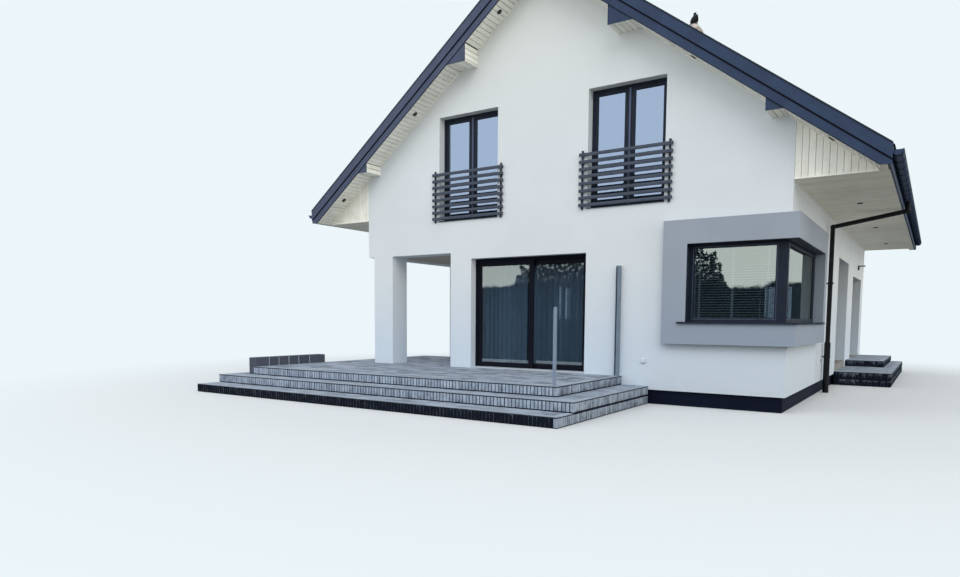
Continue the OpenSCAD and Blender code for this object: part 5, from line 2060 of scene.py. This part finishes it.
@dataclass
class Studio:
    """The camera, the floor, the lamps and the pale surroundings.

    Fields:
        eye: The camera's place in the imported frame.
        yaw: How far it is turned left of +Y, in degrees.
        pitch: How far it looks up.
        roll: How far it is tipped clockwise.
        lens: Its focal length in millimetres, for a picture 36 mm wide.
        shift: How far the picture is moved up, as a share of its width.
        sky: The pale surroundings, as a screen colour.
        far_ground: What mirrors show below the skyline.
        floor_r: Radius of the floor.
        crowns: The two crowns in the skyline: place from left to right, half width and height.
    """

    eye: Triple = (6.546, -16.910, 1.509)
    yaw: float = 33.639
    pitch: float = -4.576
    roll: float = 0.372
    lens: float = 25.59
    shift: float = 0.0892
    sky: Triple = (236, 246, 250)
    far_ground: Triple = (24, 34, 42)
    floor_r: float = 16.0
    crowns: tuple[Triple, ...] = ((-0.297, 0.06, 0.12), (-0.452, 0.06, 0.18))

    def camera(self) -> None:
        """Stands the camera at the photograph's viewing angle."""
        yaw, pitch, roll = (math.radians(a) for a in (self.yaw, self.pitch, self.roll))
        ahead = np.array([-math.sin(yaw) * math.cos(pitch), math.cos(yaw) * math.cos(pitch), math.sin(pitch)])
        level = np.array([math.cos(yaw), math.sin(yaw), 0.0])
        upward = np.cross(level, ahead)
        right = math.cos(roll) * level + math.sin(roll) * upward
        top = math.cos(roll) * upward - math.sin(roll) * level
        data = bpy.data.cameras.new("view")
        data.sensor_width = 36.0
        data.lens = self.lens
        data.shift_y = self.shift
        data.clip_end = 200.0
        camera = in_scene("view", data)
        rows = np.eye(4)
        rows[:3, 0], rows[:3, 1], rows[:3, 2], rows[:3, 3] = right, top, -ahead, self.eye
        camera.matrix_world = Matrix(rows.tolist())
        bpy.context.scene.camera = camera

    def lamps(self) -> None:
        """A broad key from the front, a cool fill from the garden and a low warm glow from the right."""
        plan = (
            ("key", 1.05, (0.42, -0.62, 0.60), 40.0, (1.0, 0.97, 0.93)),
            ("fill", 0.6, (-0.55, -0.75, 0.5), 60.0, (0.9, 0.95, 1.0)),
            ("glow", 1.05, (0.97, -0.05, 0.17), 50.0, (1.0, 0.93, 0.8)),
        )
        for name, power, toward, angle, colour in plan:
            data = bpy.data.lights.new(name, "SUN")
            data.energy = power
            data.angle = math.radians(angle)
            data.color = colour
            lamp = in_scene(name, data)
            lamp.visible_glossy = False
            z = np.array(toward) / np.linalg.norm(toward)
            x = np.cross([0.0, 0.0, 1.0], z)
            x /= np.linalg.norm(x)
            rows = np.eye(4)
            rows[:3, 0], rows[:3, 1], rows[:3, 2] = x, np.cross(z, x), z
            lamp.matrix_world = Matrix(rows.tolist())

    def surroundings(self) -> None:
        """A pale world, which mirrors show over a dark skyline with two leafy crowns."""
        g = SkyGraph("surroundings")
        ray = g.node("ShaderNodeLightPath").outputs
        seen = g.maths("MAXIMUM", ray["Is Camera Ray"], ray["Is Transmission Ray"])
        toward = g.node("ShaderNodeSeparateXYZ", {0: g.place}).outputs
        leaves = g.span(g.noise(85.0, 8.0), 0.36, 0.64, 0.3, 1.25)
        skyline = g.maths("MULTIPLY", g.noise(34.0, 8.0), 0.05)
        for middle, half, rise in self.crowns:
            away = g.maths("ABSOLUTE", g.maths("SUBTRACT", toward["X"], middle), 0.0)
            crown = g.span(away, 0.2 * half, half, rise, 0.0)
            skyline = g.maths("ADD", skyline, g.maths("MULTIPLY", crown, leaves))
        over = g.span(g.maths("SUBTRACT", toward["Z"], skyline), 0.022, 0.027)
        gaps = g.span(g.noise(260.0, 4.0), 0.54, 0.62, 0.0, 0.75)
        gaps = g.maths("MULTIPLY", gaps, g.span(toward["Z"], 0.05, 0.085))
        over = g.maths("MAXIMUM", over, gaps)
        mirrored = g.glow(g.blend(over, paint(*self.far_ground), paint(*self.sky)))
        light = g.glow((0.92, 0.955, 1.0, 1.0), 0.86)
        g.shown(g.mixed(seen, g.mixed(ray["Is Glossy Ray"], light, mirrored), g.glow(paint(*self.sky))))

    def floor(self) -> None:
        """A pale round floor that fades into the surroundings at its edge."""
        rings, sides = 40, 96
        radius = np.linspace(0.0, self.floor_r, rings)[1:]
        flat = circle(sides)
        points = np.zeros(((rings - 1) * sides + 1, 3))
        points[1:, :2] = (radius[:, None, None] * flat).reshape(-1, 2)
        index = 1 + np.arange((rings - 1) * sides).reshape(rings - 1, sides)
        quads = np.stack([index[:-1], index[1:], np.roll(index[1:], -1, 1), np.roll(index[:-1], -1, 1)], -1)
        centre = [[0, a, b] for a, b in zip(index[0].tolist(), np.roll(index[0], -1).tolist())]
        mesh = bpy.data.meshes.new("floor")
        mesh.from_pydata(points.tolist(), [], quads.reshape(-1, 4).tolist() + centre)
        g = Graph("pale_floor")
        away = g.node("ShaderNodeVectorMath", {0: g.place}, operation="LENGTH").outputs["Value"]
        fade = g.span(away, self.floor_r * 0.62, self.floor_r * 0.97)
        ray = g.node("ShaderNodeLightPath").outputs
        seen = g.maths("MAXIMUM", ray["Is Camera Ray"], ray["Is Transmission Ray"])
        bounce = g.blend(ray["Is Diffuse Ray"], paint(214, 218, 220), paint(116, 111, 99))
        lit = g.node("ShaderNodeBsdfDiffuse", {"Color": bounce}).outputs[0]
        mirrored = ray["Is Glossy Ray"]
        far = g.blend(mirrored, paint(*self.sky), paint(*self.far_ground))
        glow = g.node("ShaderNodeEmission", {"Color": far, "Strength": 1.0}).outputs[0]
        mirrored = g.maths("MULTIPLY", mirrored, g.span(away, self.floor_r * 0.4, self.floor_r * 0.7))
        share = g.maths("MAXIMUM", g.maths("MULTIPLY", fade, seen), mirrored)
        mesh.materials.append(g.shown(g.mixed(share, lit, glow)))
        in_scene("floor", mesh)

    def build(self) -> None:
        """Sets up the view, the light and the colour transform."""
        bpy.context.scene.view_settings.view_transform = "Standard"
        self.camera()
        self.lamps()
        self.surroundings()
        self.floor()


def repaint(frame: dict[str, Any], palette: Palette, front_y: float) -> None:
    """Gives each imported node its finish, and each region of one its own.

    Args:
        palette: The finishes.
        front_y: Where the front wall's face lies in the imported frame.
    """
    for finish, names in NODE_FINISHES.items():
        for name in names.split():
            node = frame["nodes"][name]
            node.data.materials.clear()
            node.data.materials.append(palette[finish])
    for region in REGIONS:
        mesh = frame["nodes"][region.node].data
        mesh.materials.append(palette[region.finish])
        middle = np.zeros(3 * len(mesh.polygons))
        mesh.polygons.foreach_get("center", middle)
        middle = middle.reshape(-1, 3) - (0.0, front_y, 0.0)
        inside = np.all((middle > region.low) & (middle < region.high), axis=1)
        mesh.polygons.foreach_set("material_index", inside.astype(np.int32))


def main() -> None:
    """Builds the house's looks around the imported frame."""
    logging.basicConfig(level=logging.INFO, format="%(name)s: %(message)s")
    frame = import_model()
    front_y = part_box("front_gable")[0].y
    Studio().build()
    palette = Palette()
    repaint(frame, palette, front_y)
    builders: list[Callable[[Palette, float], Part]] = [
        TiledRoof, Cladding, Glazing, Voiles, SlattedBlind, GardenTerrace, Railings, Ironwork,
    ]
    for builder in builders:
        log.info("building %s", builder.__name__)
        builder(palette, front_y).build()


if __name__ == "__main__":
    main()
